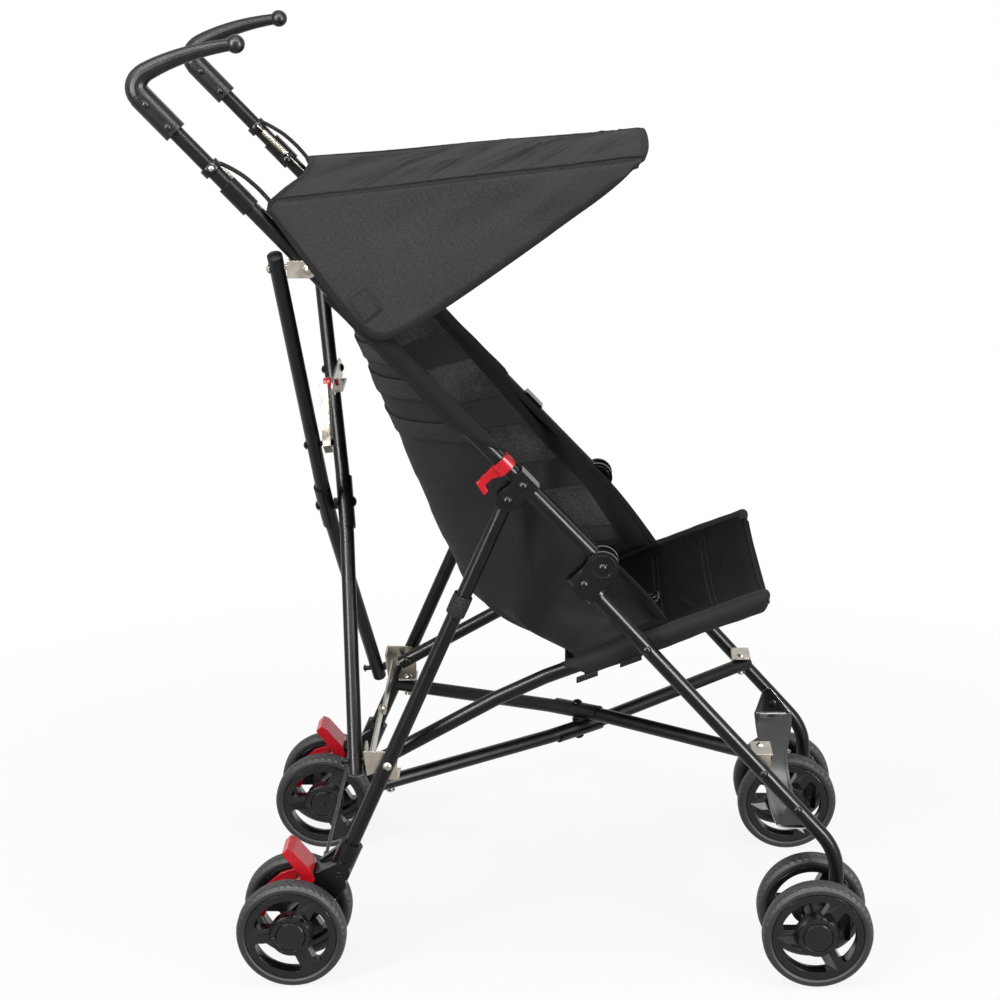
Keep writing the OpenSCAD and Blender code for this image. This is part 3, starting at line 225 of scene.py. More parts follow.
black_tube = hard("black_tube_paint", grey(0.0045), grey(0.0065), (0.27, 0.33), 500.0, 0.0,
                  edge=0.0, specular=0.15)
moulded = hard("moulded_black", grey(0.004), grey(0.007), (0.22, 0.3), 900.0, 0.000004, specular=0.16)
grip_skin = hard("grip_grey", grey(0.006), grey(0.009), (0.33, 0.4), 1500.0, 0.000004, edge=0.0012,
                 specular=0.2)
red_skin = hard("red_gloss", (0.47, 0.003, 0.010), (0.60, 0.006, 0.016), (0.2, 0.3), 900.0, 0.00002,
                edge=0.0014, specular=0.25)
plated = hard("plated_steel", (0.27, 0.245, 0.205), (0.38, 0.35, 0.30), (0.24, 0.34), 90.0, 0.000004,
              blotch=40.0, edge=0.0008, metallic=1.0)
gloss = hard("gloss_black", grey(0.005), grey(0.008), (0.15, 0.2), 260.0, 0.00001, specular=0.75)
cable_skin = hard("cable_sheath", grey(0.005), grey(0.009), (0.28, 0.4), 1500.0, 0.00002, specular=0.15)
buckle_skin = hard("buckle_black", grey(0.005), grey(0.009), (0.24, 0.34), 1400.0, 0.00002, specular=0.2)

# Where the tyre and its tread begin, from the axle, and how often the tread's blocks come round
TYRE_FROM, TREAD_FROM = 0.05022, 0.0572
BLOCKS_ROUND, BLOCK_SLANT = 46.0, 700.0


def wheel_material(name, centre):
    """Rim and tyre told apart by their distance from the axle: satin moulding, and grained rubber."""
    m = Material(name, specular=0.3)
    offset = m.new("ShaderNodeVectorMath", {0: m.coord["Object"], 1: centre}, operation="SUBTRACT")
    x, y, z = m.split(offset.outputs[0])
    radius = m.math("SQRT", m.math("ADD", m.math("MULTIPLY", x, x), m.math("MULTIPLY", z, z)))
    tyre = m.math("GREATER_THAN", radius, TYRE_FROM)
    tread = m.math("GREATER_THAN", radius, TREAD_FROM)
    # small slanted blocks round the tread
    turn = m.sum(m.math("ARCTAN2", z, x), BLOCKS_ROUND, m.math("ABSOLUTE", y), BLOCK_SLANT)
    block = m.share(m.math("SINE", turn))
    fine = m.noise(1700.0, 2.0)
    slow = m.noise(45.0, 4.0)
    rim_c = m.ramp(slow, [(0.35, grey(0.0045)), (0.7, grey(0.0075))])
    tyre_c = m.ramp(m.sum(slow, 0.5, fine, 0.5), [(0.36, grey(0.005)), (0.66, grey(0.012))])
    # The tread's lighter flecked grey is partly dust and partly painted sheen on the tyre's running face.
    tread_dust_and_sheen = m.ramp(m.noise(420.0, 3.0), [(0.42, grey(0.01)), (0.72, grey(0.07))])
    m.edge(0.0008)
    m.bump(m.math("MULTIPLY", block, tread), 0.7, 0.0009)
    m.bump(fine, 0.3, 0.00008)
    rough = m.math("ADD", m.span(slow, 0.14, 0.21), m.math("MULTIPLY", tyre, 0.42))
    return m.finish(m.mix(tread, m.mix(tyre, rim_c, tyre_c), tread_dust_and_sheen), rough)


def cloth(name, dark, light, fleck, sheen, weave=0.5, pitch=0.9, rough=(0.78, 0.92), specular=0.06):
    """Woven cloth: crossing threads of a pitch in millimetres, fleck of single fibres, slow drift."""
    m = Material(name, sheen=sheen, specular=specular)
    along, across, _ = m.split(m.coord["UV"])
    knit = m.share(m.math("MULTIPLY", m.ripple(along, pitch), m.ripple(across, pitch)))
    warp = m.noise(1.0, 3.0, 0.6, m.stretch((260.0, 1500.0, 1.0)))
    weft = m.noise(1.0, 3.0, 0.6, m.stretch((1500.0, 260.0, 1.0)))
    fibre = m.math("MULTIPLY", m.math("ADD", warp, weft), 0.5)
    tone = m.sum(fibre, fleck, m.noise(9.0, 4.0), 1.0 - fleck)
    m.bump(knit, weave, 0.00022)
    m.bump(fibre, 0.3, 0.0003)
    return m.finish(m.ramp(tone, [(0.36, dark), (0.64, light)]), m.span(fibre, *rough))


# The roof's cloth is kept darker than the sides' cloth as painted shade on the roof, which the lamps above
# light more.
canopy_cloth = cloth("canopy_roof_heather_painted_shade", grey(0.006), grey(0.036), 0.85, 0.03)
side_cloth = cloth("canopy_side_heather", grey(0.015), grey(0.058), 0.85, 0.03)
binding_cloth = cloth("binding_tape", grey(0.008), grey(0.020), 0.6, 0.02, pitch=0.7)
seat_cloth = cloth("seat_black_cloth", grey(0.012), grey(0.029), 0.7, 0.03, rough=(0.6, 0.78))
lining = cloth("seat_lining", grey(0.003), grey(0.008), 0.6, 0.0, rough=(0.6, 0.78), specular=0.04)
sleeve_cloth = cloth("sleeve_cloth", grey(0.006), grey(0.017), 0.7, 0.03)
# The seat base's cloth is kept far darker than seat_cloth on its pockets: painted shade on the base's top,
# which the lamp above lights.
base_shaded_cloth = cloth("seat_base_cloth", grey(0.003), grey(0.009), 0.6, 0.0, rough=(0.66, 0.8), weave=0.35,
                   specular=0.02)

# Panels of the backrest: how many to the metre down the sling, and the start of the first
PANELS, PANEL_SHIFT = 11.0, 0.02


def panel_material():
    """Inside of the backrest: fuzzy grey panels between plain black bands, set out along the sling."""
    m = Material("seat_panels", sheen=0.03, specular=0.06)
    row, col, _ = m.split(m.coord["UV"])
    cycle = m.math("FRACT", m.math("MULTIPLY", m.math("ADD", row, PANEL_SHIFT), PANELS))
    panel = m.span(m.math("ABSOLUTE", m.math("SUBTRACT", cycle, 0.5)), 1.0, 0.0, 0.27, 0.30)
    fuzz = m.noise(900.0, 4.0, 0.7)
    slow = m.noise(14.0, 4.0)
    grey_c = m.ramp(m.sum(fuzz, 0.65, slow, 0.35), [(0.42, grey(0.009)), (0.64, grey(0.13))])
    black_c = m.ramp(slow, [(0.35, grey(0.004)), (0.7, grey(0.008))])
    m.bump(m.math("MULTIPLY", fuzz, panel), 0.6, 0.0012)
    m.bump(m.math("MULTIPLY", m.ripple(row, 1.1), m.ripple(col, 1.1)), 0.25, 0.0002)
    return m.finish(m.mix(panel, black_c, grey_c), m.span(panel, 0.62, 0.94, 0.0, 1.0))


def webbing_material():
    """Ribbed black webbing: ribs run along the strap, weft lines cross it."""
    m = Material("webbing", sheen=0.02, specular=0.1)
    along, across, _ = m.split(m.coord["UV"])
    rib, weft = m.ripple(across, 2.7), m.ripple(along, 2.3)
    fibre = m.noise(1300.0, 3.0)
    tone = m.sum(fibre, 0.7, m.math("MULTIPLY", rib, weft), 0.35)
    m.bump(rib, 0.8, 0.0005)
    m.bump(weft, 0.4, 0.0003)
    return m.finish(m.ramp(tone, [(0.32, grey(0.002)), (0.76, grey(0.085))]), m.span(fibre, 0.55, 0.75))


def thread_material():
    m = Material("stitch_thread", sheen=0.05, specular=0.12)
    twist = m.noise(2600.0, 2.0)
    m.bump(twist, 0.5, 0.0001)
    return m.finish(m.ramp(twist, [(0.35, grey(0.006)), (0.65, grey(0.018))]), m.span(twist, 0.5, 0.7))


panel_cloth = panel_material()
webbing = webbing_material()
thread = thread_material()

# Looks of the CAD nodes by how their names start; what is left is painted tube
LOOKS = ((plated, ("clevis", "lock_lever", "lock_yoke", "lock_spring", "rear_bracket", "rear_swivel",
                   "front_bracket", "spreader", "rear_axle", "front_axle")),
         (red_skin, ("brake_pedal", "transport_catch", "release_button")),
         (grip_skin, ("grip",)),
         (moulded, ("rear_hub", "front_fork", "knee_bracket", "pivot_plate", "canopy_clip")))
for name, node in nodes.items():
    if name.startswith("wheel"):
        look = wheel_material(name + "_look", [(lo + hi) / 2 for lo, hi in zip(*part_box(name))])
    else:
        look = next((m for m, starts in LOOKS if name.startswith(starts)), black_tube)
    node.data.materials.clear()
    node.data.materials.append(look)
    for place in node.material_slots:
        place.material = look


# Mesh helpers. Points come in millimetres
def make(name, verts, faces, mats, which=None, uv=None):
    mesh = bpy.data.meshes.new(name)
    mesh.from_pydata([tuple(p) for p in np.asarray(verts) * MM], [], faces)
    for m in mats:
        mesh.materials.append(m)
    if which is not None:
        mesh.polygons.foreach_set("material_index", np.asarray(which, np.int32))
    mesh.polygons.foreach_set("use_smooth", np.ones(len(mesh.polygons), bool))
    if uv is not None:
        layer = mesh.uv_layers.new(name="UVMap")
        loops = np.zeros(len(mesh.loops), np.int32)
        mesh.loops.foreach_get("vertex_index", loops)
        layer.data.foreach_set("uv", (np.asarray(uv) * MM)[loops].astype(np.float32).ravel())
    mesh.update()
    return add_object(name, mesh)


def unit(a):
    return a / np.maximum(np.linalg.norm(a, axis=-1, keepdims=True), 1e-9)


def grid_normals(P):
    return unit(np.cross(np.gradient(P, axis=0), np.gradient(P, axis=1)))


def grid_area(P):
    a = np.cross(P[1:, :-1] - P[:-1, :-1], P[:-1, 1:] - P[:-1, :-1])
    b = np.cross(P[1:, 1:] - P[1:, :-1], P[1:, 1:] - P[:-1, 1:])
    return (np.linalg.norm(a, axis=-1).sum() + np.linalg.norm(b, axis=-1).sum()) / 2 * MM * MM


def lengths(P, axis):
    d = np.linalg.norm(np.diff(P, axis=axis), axis=-1).mean(axis=1 - axis)
    return np.concatenate([[0.0], np.cumsum(d)])


def run_along(path):
    """Length along a path at each of its points."""
    return np.concatenate([[0.0], np.cumsum(np.linalg.norm(np.diff(path, axis=0), axis=-1))])


def grid_uv(along, across):
    return np.stack(np.meshgrid(along, across, indexing="ij"), -1).reshape(-1, 2)


def nearest(values, x):
    return int(np.argmin(np.abs(values - x)))


def looks_of(obj):
    """The material index of each face."""
    which = np.zeros(len(obj.data.polygons), np.int32)
    obj.data.polygons.foreach_get("material_index", which)
    return which


def sheet(name, P, thick, mats):
    """A cloth of two skins and its edge round a grid of points. The under skin takes the second material."""
    m, n = P.shape[:2]
    N = grid_normals(P)
    verts = np.concatenate([(P + N * thick / 2).reshape(-1, 3), (P - N * thick / 2).reshape(-1, 3)])
    i, j = np.meshgrid(np.arange(m - 1), np.arange(n - 1), indexing="ij")
    a = (i * n + j).ravel()
    up = np.stack([a, a + n, a + n + 1, a + 1], 1)
    down = np.stack([a, a + 1, a + n + 1, a + n], 1) + m * n
    rim = []
    k = m * n
    for q in range(m - 1):
        rim.append((q * n, k + q * n, k + (q + 1) * n, (q + 1) * n))
        e = q * n + n - 1
        rim.append((e, e + n, k + e + n, k + e))
    for q in range(n - 1):
        rim.append((q, q + 1, k + q + 1, k + q))
        e = (m - 1) * n + q
        rim.append((e, k + e, k + e + 1, e + 1))
    faces = up.tolist() + down.tolist() + rim
    which = [0] * len(up) + [min(1, len(mats) - 1)] * len(down) + [0] * len(rim)
    uv = grid_uv(lengths(P, 0), lengths(P, 1))
    return make(name, verts, faces, mats, which, np.concatenate([uv, uv]))


def ring_solid(rings, closed=False):
    """Points and faces through rings of points, with flat ends or closed to a loop."""
    k, s = rings.shape[:2]
    faces = [(i * s + j, i * s + (j + 1) % s, (i + 1) % k * s + (j + 1) % s, (i + 1) % k * s + j)
             for i in range(k if closed else k - 1) for j in range(s)]
    if not closed:
        faces.append(tuple(range(s - 1, -1, -1)))
        faces.append(tuple(range((k - 1) * s, k * s)))
    return rings.reshape(-1, 3), faces


def loft(name, rings, mats):
    """A closed form through rings of points, each ring going round."""
    verts, faces = ring_solid(rings)
    return make(name, verts, faces, mats, None, grid_uv(lengths(rings, 0), run_along(rings[0])))


def frames_along(path):
    """Two normals carried along a path without twist."""
    t = unit(np.gradient(path, axis=0))
    n = np.zeros_like(t)
    first = np.cross(t[0], [0.0, 0.0, 1.0])
    if np.linalg.norm(first) < 0.1:
        first = np.cross(t[0], [1.0, 0.0, 0.0])
    n[0] = unit(first)
    for i in range(1, len(t)):
        n[i] = unit(n[i - 1] - t[i] * (n[i - 1] @ t[i]))
    return n, np.cross(t, n)


def tube_rings(path, radius, sides):
    path = np.asarray(path, float)
    n, b = frames_along(path)
    r = np.broadcast_to(np.asarray(radius, float), (len(path),))
    a = np.arange(sides) * 2.0 * math.pi / sides
    return path[:, None] + r[:, None, None] * (np.cos(a)[None, :, None] * n[:, None]
                                               + np.sin(a)[None, :, None] * b[:, None])


def tube(name, path, radius, mats, sides):
    return loft(name, tube_rings(path, radius, sides), mats)


def turned(points, steps, sides):
    """Points and faces of a turned form, whose radius at each point stands second in steps."""
    return ring_solid(tube_rings(points, [r for _, r in steps], sides))


def gather(name, parts, mats):
    """Several closed forms, given as (verts, faces), in one mesh."""
    verts, faces, base = [], [], 0
    for v, f in parts:
        verts.append(v)
        faces += [tuple(q + base for q in g) for g in f]
        base += len(v)
    return make(name, np.concatenate(verts), faces, mats)


def resample(path, step):
    path = np.asarray(path, float)
    d = run_along(path)
    s = np.linspace(0.0, d[-1], max(2, int(d[-1] / step) + 1))
    return np.stack([np.interp(s, d, path[:, i]) for i in range(path.shape[1])], 1)


def stitch_line(path, normal, pitch=3.4, length=2.4, lift=0.25):
    """Parts of a row of stitches along a path, each a small crowned thread."""
    path = np.asarray(path, float)
    normal = np.broadcast_to(np.asarray(normal, float), path.shape)
    d = run_along(path)

    def get(s, a):
        return np.array([np.interp(s, d, a[:, i]) for i in range(3)])

    parts = []
    for s in np.arange(pitch / 2, d[-1] - pitch / 2, pitch):
        p, q = get(s - length / 2, path), get(s + length / 2, path)
        nn = unit(get(s, normal))
        t = unit(q - p)
        w = np.cross(t, nn)
        rings = []
        for f, r, h in ((0.0, 0.16, 0.0), (0.25, 0.34, 1.0), (0.75, 0.34, 1.0), (1.0, 0.16, 0.0)):
            c = p + (q - p) * f + nn * lift * h
            rings.append([c + r * (w * math.cos(g) + nn * math.sin(g)) for g in np.arange(6) * math.pi / 3])
        parts.append(ring_solid(np.array(rings)))
    return parts


def binding(name, path, inward, normal, mats, width=6.0, thick=1.1):
    """Tape folded over an edge, as a strip with a rounded fold, carried along the edge."""
    half = [(width, 0.5), (width * 0.92, 0.95), (width * 0.5, 1.05), (0.3, 1.0), (-0.7, 0.5)]
    prof = half + [(-0.9, 0.0)] + [(a, -b) for a, b in half[::-1]]
    rings = np.stack([path + inward * a + normal * (b * thick) for a, b in prof], 1)
    return loft(name, rings, mats)


def smooth_rows(a, times=3):
    for _ in range(times):
        a = np.concatenate([a[:1], (a[:-2] + 2 * a[1:-1] + a[2:]) / 4, a[-1:]])
    return a


def soft_fold(d, w):
    return np.exp(-(d / w) ** 2)


def smooth_step(f):
    f = np.clip(f, 0, 1)
    return f * f * (3 - 2 * f)


def curve(a, b, c, f):
    """A point on the curve from a to c that b pulls."""
    return (1 - f) ** 2 * a + 2 * f * (1 - f) * b + f * f * c


def near_turn(a, mid, w):
    """1 at an angle, falling to 0 on both sides of it."""
    return math.exp(-(((a - mid + math.pi) % (2 * math.pi) - math.pi) / w) ** 2)


# Fold of each soft piece: the right-hand edge that it keeps at full fold, and the share of its width. The
# script reads them only to give a piece its own mesh
CANOPY_FOLD = (-196.0, 0.456)
BACK_FOLD = (-165.0, 0.35)
BASE_FOLD = (-148.0, 0.345)
FOOT_FOLD = (-175.6, 0.45)
CABLE_FOLD = (-164.6, 0.48)


def carry(obj, body, fold=None):
    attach(obj, body)
    if fold:
        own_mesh(obj)


def carry_all(pieces, body, fold=None):
    for obj in pieces:
        carry(obj, body, fold)


# Brake cable, first of all pieces: a stiff sheathed cable between the hubs, with a ferrule at each end
CABLE_X, CABLE_Z, CABLE_R, CABLE_INSET = -213.0, 121.0, 2.0, 19.4
NEAR_FERRULE = ((0.0, 3.6), (2.0, 3.6), (2.2, 3.0), (14.0, 3.0), (15.0, 3.4), (18.0, 2.6), (21.0, 2.1))
FAR_FERRULE = ((0.0, 3.2), (6.0, 3.2), (6.2, 5.2), (12.0, 5.2), (12.2, 3.4), (15.0, 3.4), (15.2, 4.6),
               (44.0, 4.6), (45.0, 4.2), (47.0, 3.0), (56.0, 2.8), (58.0, 2.1))
cable_half = SIDE - CABLE_INSET
cable_path = np.array([[CABLE_X, y, CABLE_Z] for y in np.linspace(-cable_half, cable_half, 33)])
cable = tube("brake_cable_sheath", cable_path, CABLE_R, [cable_skin], 12)
ferrules = []
for s, steps in ((-1, NEAR_FERRULE), (1, FAR_FERRULE)):
    ferrules.append(turned([[CABLE_X, s * (cable_half - d), CABLE_Z] for d, _ in steps], steps, 14))
ferrule = gather("brake_cable_ferrules", ferrules, [moulded])
carry_all([cable, ferrule], "rear_leg_right", CABLE_FOLD)
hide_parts("brake_cable")


# Canopy: one continuous sheet over the roof and down both sides
CAN_REAR, CAN_FRONT = -247.0, 142.0
REAR_HALF, FRONT_HALF, ROOF_ARCH = 177.0, 128.0, 9.0
ROOF_REAR_Z, ROOF_FRONT_Z = 850.0, 886.0
REAR_EDGE, REAR_FALL = np.array([-248.5, 843.8]), 1.458
FRONT_EDGE, FRONT_RISE = np.array([-114.0, 708.0]), 0.668
LOW_CORNER = 48.0
SIDE_COLS, RIDGE_COLS, ROOF_COLS = 30, 8, 78
HEM_HALF, HEM_BULGE, HEM_TAPER = 192.0, 8.0, 56.0
# Folds of the roof: x, y, direction in degrees, width and height. Nine long ones, then finer ones
ROOF_FOLDS = [(-165, 40, 62, 3.4, 1.2), (-128, -70, 70, 2.6, 1.5), (-96, 30, 74, 2.2, 1.8),
              (-62, -40, 72, 2.4, 2.0), (-30, 60, 76, 2.0, 1.7), (-4, -60, 70, 2.6, 2.0),
              (32, 10, 74, 2.2, 1.6), (70, 70, 66, 3.0, 1.4), (98, -50, 72, 3.2, 1.1)]
for k in range(19):
    ROOF_FOLDS.append((-190.0 + 17.0 * k, 90.0 * math.sin(2.3 * k), 68.0 + 7.0 * math.sin(1.7 * k),
                       1.7 + 0.4 * math.sin(k), 0.75 + 0.35 * math.sin(3.1 * k)))
# Long pulls on the sides, from the low corner to the front of the ridge: offset, width and height
PULL_LEAN = 0.67
SIDE_PULLS = ((16.0, 7.0, 2.0), (38.0, 10.0, -2.2), (66.0, 9.0, 1.8), (92.0, 12.0, -1.6))


def canopy_run(x):
    """Share of the way from the rear edge to the front edge."""
    return (x - CAN_REAR) / (CAN_FRONT - CAN_REAR)


def canopy_half(x):
    """Half width of the roof, which narrows to the front."""
    return REAR_HALF + (FRONT_HALF - REAR_HALF) * canopy_run(x)


def canopy_roof(x):
    return ROOF_REAR_Z + (ROOF_FRONT_Z - ROOF_REAR_Z) * canopy_run(x)


def canopy_hem(x):
    """Lower edge of a side: down over the push tube, round the low corner, and up to the front."""
    rear = REAR_EDGE[1] - REAR_FALL * (x - REAR_EDGE[0])
    front = FRONT_EDGE[1] + FRONT_RISE * (x - FRONT_EDGE[0])
    both = (rear + front + math.sqrt((rear - front) ** 2 + LOW_CORNER ** 2)) / 2
    return min(canopy_roof(x) - 7.0, both)


def canopy_hem_half(x):
    """Half width at the hem, wider where the cloth passes outside the sleeved tube."""
    return HEM_HALF + HEM_BULGE * soft_fold(x + 170.0, 60.0) - HEM_TAPER * smooth_step((x + 130.0) / 270.0)


def canopy_side(x, z):
    """Half width of a side at a height."""
    f = (canopy_roof(x) - z) / (canopy_roof(x) - canopy_hem(x))
    return canopy_half(x) + f * (canopy_hem_half(x) - canopy_half(x))


def canopy_section(x):
    """One cross-section as points [y, z], and the share of the drop from ridge to hem at each."""
    l, h, half = canopy_hem(x), canopy_roof(x), canopy_half(x)
    hem, ridge = np.array([-canopy_hem_half(x), l]), np.array([-half, h])
    d = min(8.0, 0.45 * (h - l))
    down = unit(hem - ridge)
    start, inner = ridge + down * d, half - d
    end = np.array([-inner, h + ROOF_ARCH * (1 - (inner / half) ** 2)])
    side = [hem + (start - hem) * k for k in np.linspace(0, 1, SIDE_COLS, endpoint=False)]
    turn = [curve(start, ridge, end, t) for t in np.linspace(0, 1, RIDGE_COLS, endpoint=False)]
    roof = [np.array([y, h + ROOF_ARCH * (1 - (y / half) ** 2)])
            for y in np.linspace(-inner, 0.0, ROOF_COLS // 2 + 1)]
    one = np.array(side + turn + roof)
    line = np.concatenate([one, one[-2::-1] * [-1, 1]])
    return line, np.clip((h - line[:, 1]) / (h - l), 0, 1)


def canopy_grid():
    rows = []
    for x in np.linspace(CAN_REAR, CAN_FRONT, 220):
        s = canopy_run(x)
        line, drop = canopy_section(x)
        v = np.clip(np.abs(line[:, 0]) / canopy_half(x), 0, 1)
        scoop = (1 - s) ** 7 * 18.0 * (1 - v ** 2)
        brow = s ** 14 * (3.0 * v ** 2 + 3.0 * v ** 8 + 9.0 * drop ** 2)
        rows.append(np.stack([x + scoop - brow, line[:, 0], line[:, 1]], 1))
    P = np.array(rows)
    # on the roof: slack between the ends, and slanting folds
    x, y, z = P[..., 0], P[..., 1], P[..., 2]
    wide = canopy_half(x)
    on_roof = np.clip((wide - 1.0 - np.abs(y)) / 14.0, 0, 1)
    dip = 4.0 * np.sin(math.pi * np.clip(canopy_run(x), 0, 1)) * (1 - (y / wide) ** 2)
    wave = 0.7 * np.sin(x / 31.0 + y / 47.0) + 0.5 * np.sin(x / 53.0 - y / 23.0 + 1.3)
    for x0, y0, turn, w, g in ROOF_FOLDS:
        ca, sa = math.cos(math.radians(turn)), math.sin(math.radians(turn))
        off = -(x - x0) * sa + (y - y0) * ca
        run = (x - x0) * ca + (y - y0) * sa
        wave = wave + 2.1 * g * soft_fold(off, w) * soft_fold(run, 85.0)
        wave = wave - 1.5 * g * soft_fold(off - 2.4 * w, 1.5 * w) * soft_fold(run, 70.0)
    P[..., 2] += on_roof * (wave - dip)
    # on the sides: a slight belly, a loose band under the front of the ridge, and the long pulls
    reach = np.clip((np.abs(y) - wide) / 14.0, 0, 1)
    belly = np.sin(math.pi * reach)
    slack = 1.3 * np.sin(x / 37.0) + 1.0 * np.sin((x + 2.0 * z) / 31.0) - 1.0
    loose = 2.2 * soft_fold(x - 60.0, 70.0) * np.sin(2.0 * math.pi * reach)
    rise = (z - FRONT_EDGE[1]) * math.cos(PULL_LEAN) - (x - FRONT_EDGE[0]) * math.sin(PULL_LEAN)
    for d0, w, g in SIDE_PULLS:
        slack = slack + g * soft_fold(rise - d0, w)
    P[..., 1] += np.sign(y) * (belly * slack + loose)
    return P


can = canopy_grid()
cn = grid_normals(can)
canopy = sheet("canopy_cloth", can, 1.3, [canopy_cloth, side_cloth])
# the drop sides take the second, lighter cloth; the roof's darker cloth is painted shade
which = looks_of(canopy)
centre = np.zeros(3 * len(which), np.float32)
canopy.data.polygons.foreach_get("center", centre)
centre = centre.reshape(-1, 3) / MM
which[np.abs(centre[:, 1]) > canopy_half(centre[:, 0]) + 0.2] = 1
canopy.data.polygons.foreach_set("material_index", which)


def edge_of(P, N, where):
    """The points, inward directions and normals along one edge of a grid."""
    end, way = where.split("_")
    if way == "col":
        P, N = P.swapaxes(0, 1), N.swapaxes(0, 1)
    edge, inner = (0, 3) if end == "first" else (-1, -4)
    p, inn = P[edge], P[inner] - P[edge]
    t = unit(np.gradient(p, axis=0))
    inn = unit(inn - t * (inn * t).sum(-1, keepdims=True))
    return p, smooth_rows(inn, 6), smooth_rows(N[edge], 6)


can_trim, can_stitch = [], []
# one tape up the right hem, across the front and down the left hem, and one along the rear
down_left = [a[::-1] for a in edge_of(can, cn, "last_col")]
hems = [edge_of(can, cn, "first_col"), edge_of(can, cn, "last_row"), down_left]
p, inn, n = [np.concatenate(rows) for rows in zip(*hems)]
tapes = {"hem": (smooth_rows(p, 10), unit(smooth_rows(inn, 40)), unit(smooth_rows(n, 24))),
         "rear": edge_of(can, cn, "first_row")}
for where, (p, inn, n) in tapes.items():
    can_trim.append(binding("canopy_binding_" + where, p, inn, n, [binding_cloth]))
    for off in (3.6, 7.4):
        can_stitch += stitch_line(p + inn * off + n * (1.25 if off < 6 else 0.75), n)
# seam and its two stitch rows along each ridge
ridge = SIDE_COLS + RIDGE_COLS
for j in (ridge, can.shape[1] - 1 - ridge):
    p, n = can[2:-2, j], cn[2:-2, j]
    into = unit(can[2:-2, can.shape[1] // 2] - p)
    flat = [(-3.4, 0.4), (-2.8, 1.4), (0.0, 1.7), (2.2, 1.4), (2.8, 0.4), (0.0, 0.2)]
    pucker = (0.7 * np.sin(p[:, 0] / 5.3) + 0.5 * np.sin(p[:, 0] / 2.9 + 1.0))[:, None]
    fold = np.stack([p + into * (a + pucker * (0.5 if a < 0 else 0.1)) + n * b for a, b in flat], 1)
    can_trim.append(loft("canopy_seam_%d" % j, fold, [binding_cloth]))
    for off in (4.2, 7.6):
        can_stitch += stitch_line(p + into * off + n * 0.75, n)
# stitched patch near each low corner, along the rear edge
PATCH, PATCH_LEN, PATCH_HIGH, PATCH_HEM = np.array([-151.0, 748.0]), 32.0, 22.0, 2.5
PATCH_RUN = unit(np.array([1.0, -REAR_FALL]))
PATCH_RISE = np.array([-PATCH_RUN[1], PATCH_RUN[0]])


def patch_point(s, a, b, lift):
    """A point of the patch on one side, a along the rear edge and b across it."""
    x, z = PATCH + PATCH_RUN * a + PATCH_RISE * b
    return [x, s * (canopy_side(x, z) + lift), z]


for s, side in SIDES:
    g = np.array([[patch_point(s, a, b, 1.0) for b in np.linspace(-PATCH_HIGH / 2, PATCH_HIGH / 2, 9)]
                  for a in np.linspace(-PATCH_LEN / 2, PATCH_LEN / 2, 13)])
    if s < 0:
        g = g[:, ::-1]
    can_trim.append(sheet("canopy_patch_" + side, g, 1.2, [side_cloth]))
    a, b = PATCH_LEN / 2 - PATCH_HEM, PATCH_HIGH / 2 - PATCH_HEM
    corners = [patch_point(s, *q, 1.7) for q in ((-a, -b), (a, -b), (a, b), (-a, b), (-a, -b))]
    can_stitch += stitch_line(resample(corners, 2.0), [0.0, float(s), 0.0])
stitches = gather("canopy_stitches", can_stitch, [thread])
carry_all(can_trim + [stitches, canopy], "push_right", CANOPY_FOLD)
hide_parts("canopy")
grid_area(can)


# Canopy ties, alike on both sides: a coil spring, a tie of webbing, and a collar with its screw
# Places: length up the push tube, distance below its axis, distance from the centre plane
SPRING_TOP, SPRING_LOW = (567.0, -4.0, 169.5), (531.0, -5.0, 169.0)
SPRING_R, SPRING_TURNS, WIRE_R, TIE_R = 2.7, 22, 0.75, 2.3
TIE_ROUTE = ((574.0, -9.5, 182.0), (565.0, -13.0, 180.0), (548.0, -17.5, 179.0), (528.0, -19.0, 178.0),
             (510.0, -18.0, 177.0), (496.0, -15.5, 175.5), (484.0, -13.0, 174.0))
COLLAR = ((571.0, 8.3), (571.2, 10.4), (572.0, 10.9), (580.0, 10.9), (580.8, 10.4), (581.0, 8.3))
SCREW_AT, SCREW = 576.0, ((9.6, 3.0), (11.8, 3.0), (12.6, 2.2), (12.9, 0.4))


def side_point(t, off, y):
    q = push_pt(t) + off * LOW
    return np.array([q[0], y, q[1]])


def helix(a, b, radius, turns, per=14):
    s = np.linspace(0, 1, turns * per + 1)
    d = unit(b - a)
    u = unit(np.cross(d, [0.0, 1.0, 0.0]))
    w = np.cross(d, u)
    ang = s * turns * 2 * math.pi
    return a + (b - a) * s[:, None] + radius * (np.cos(ang)[:, None] * u + np.sin(ang)[:, None] * w)


for s, side in SIDES:
    a, b = [side_point(t, off, s * y) for t, off, y in (SPRING_TOP, SPRING_LOW)]
    lead = np.array([a + (a - b) * f for f in (0.30, 0.2, 0.1, 0.03)])
    tail = np.array([b + (b - a) * f for f in (0.03, 0.1, 0.3, 0.6, 0.9)])
    wire = np.concatenate([lead, helix(a, b, SPRING_R, SPRING_TURNS), tail])
    carry(tube("canopy_spring_" + side, wire, WIRE_R, [plated], 7), "push_" + side)
    line = smooth_rows(resample([side_point(t, off, s * y) for t, off, y in TIE_ROUTE], 3.0), 4)
    carry(tube("canopy_tie_" + side, line, TIE_R, [webbing], 10), "push_" + side)
    collar = turned([side_point(t, 0.0, s * SIDE) for t, _ in COLLAR], COLLAR, 28)
    screw = turned([side_point(SCREW_AT, -2.0, s * (SIDE + h)) for h, _ in SCREW], SCREW, 14)
    carry(gather("canopy_collar_" + side, [collar], [moulded]), "push_" + side)
    carry(gather("canopy_collar_screw_" + side, [screw], [plated]), "push_" + side)


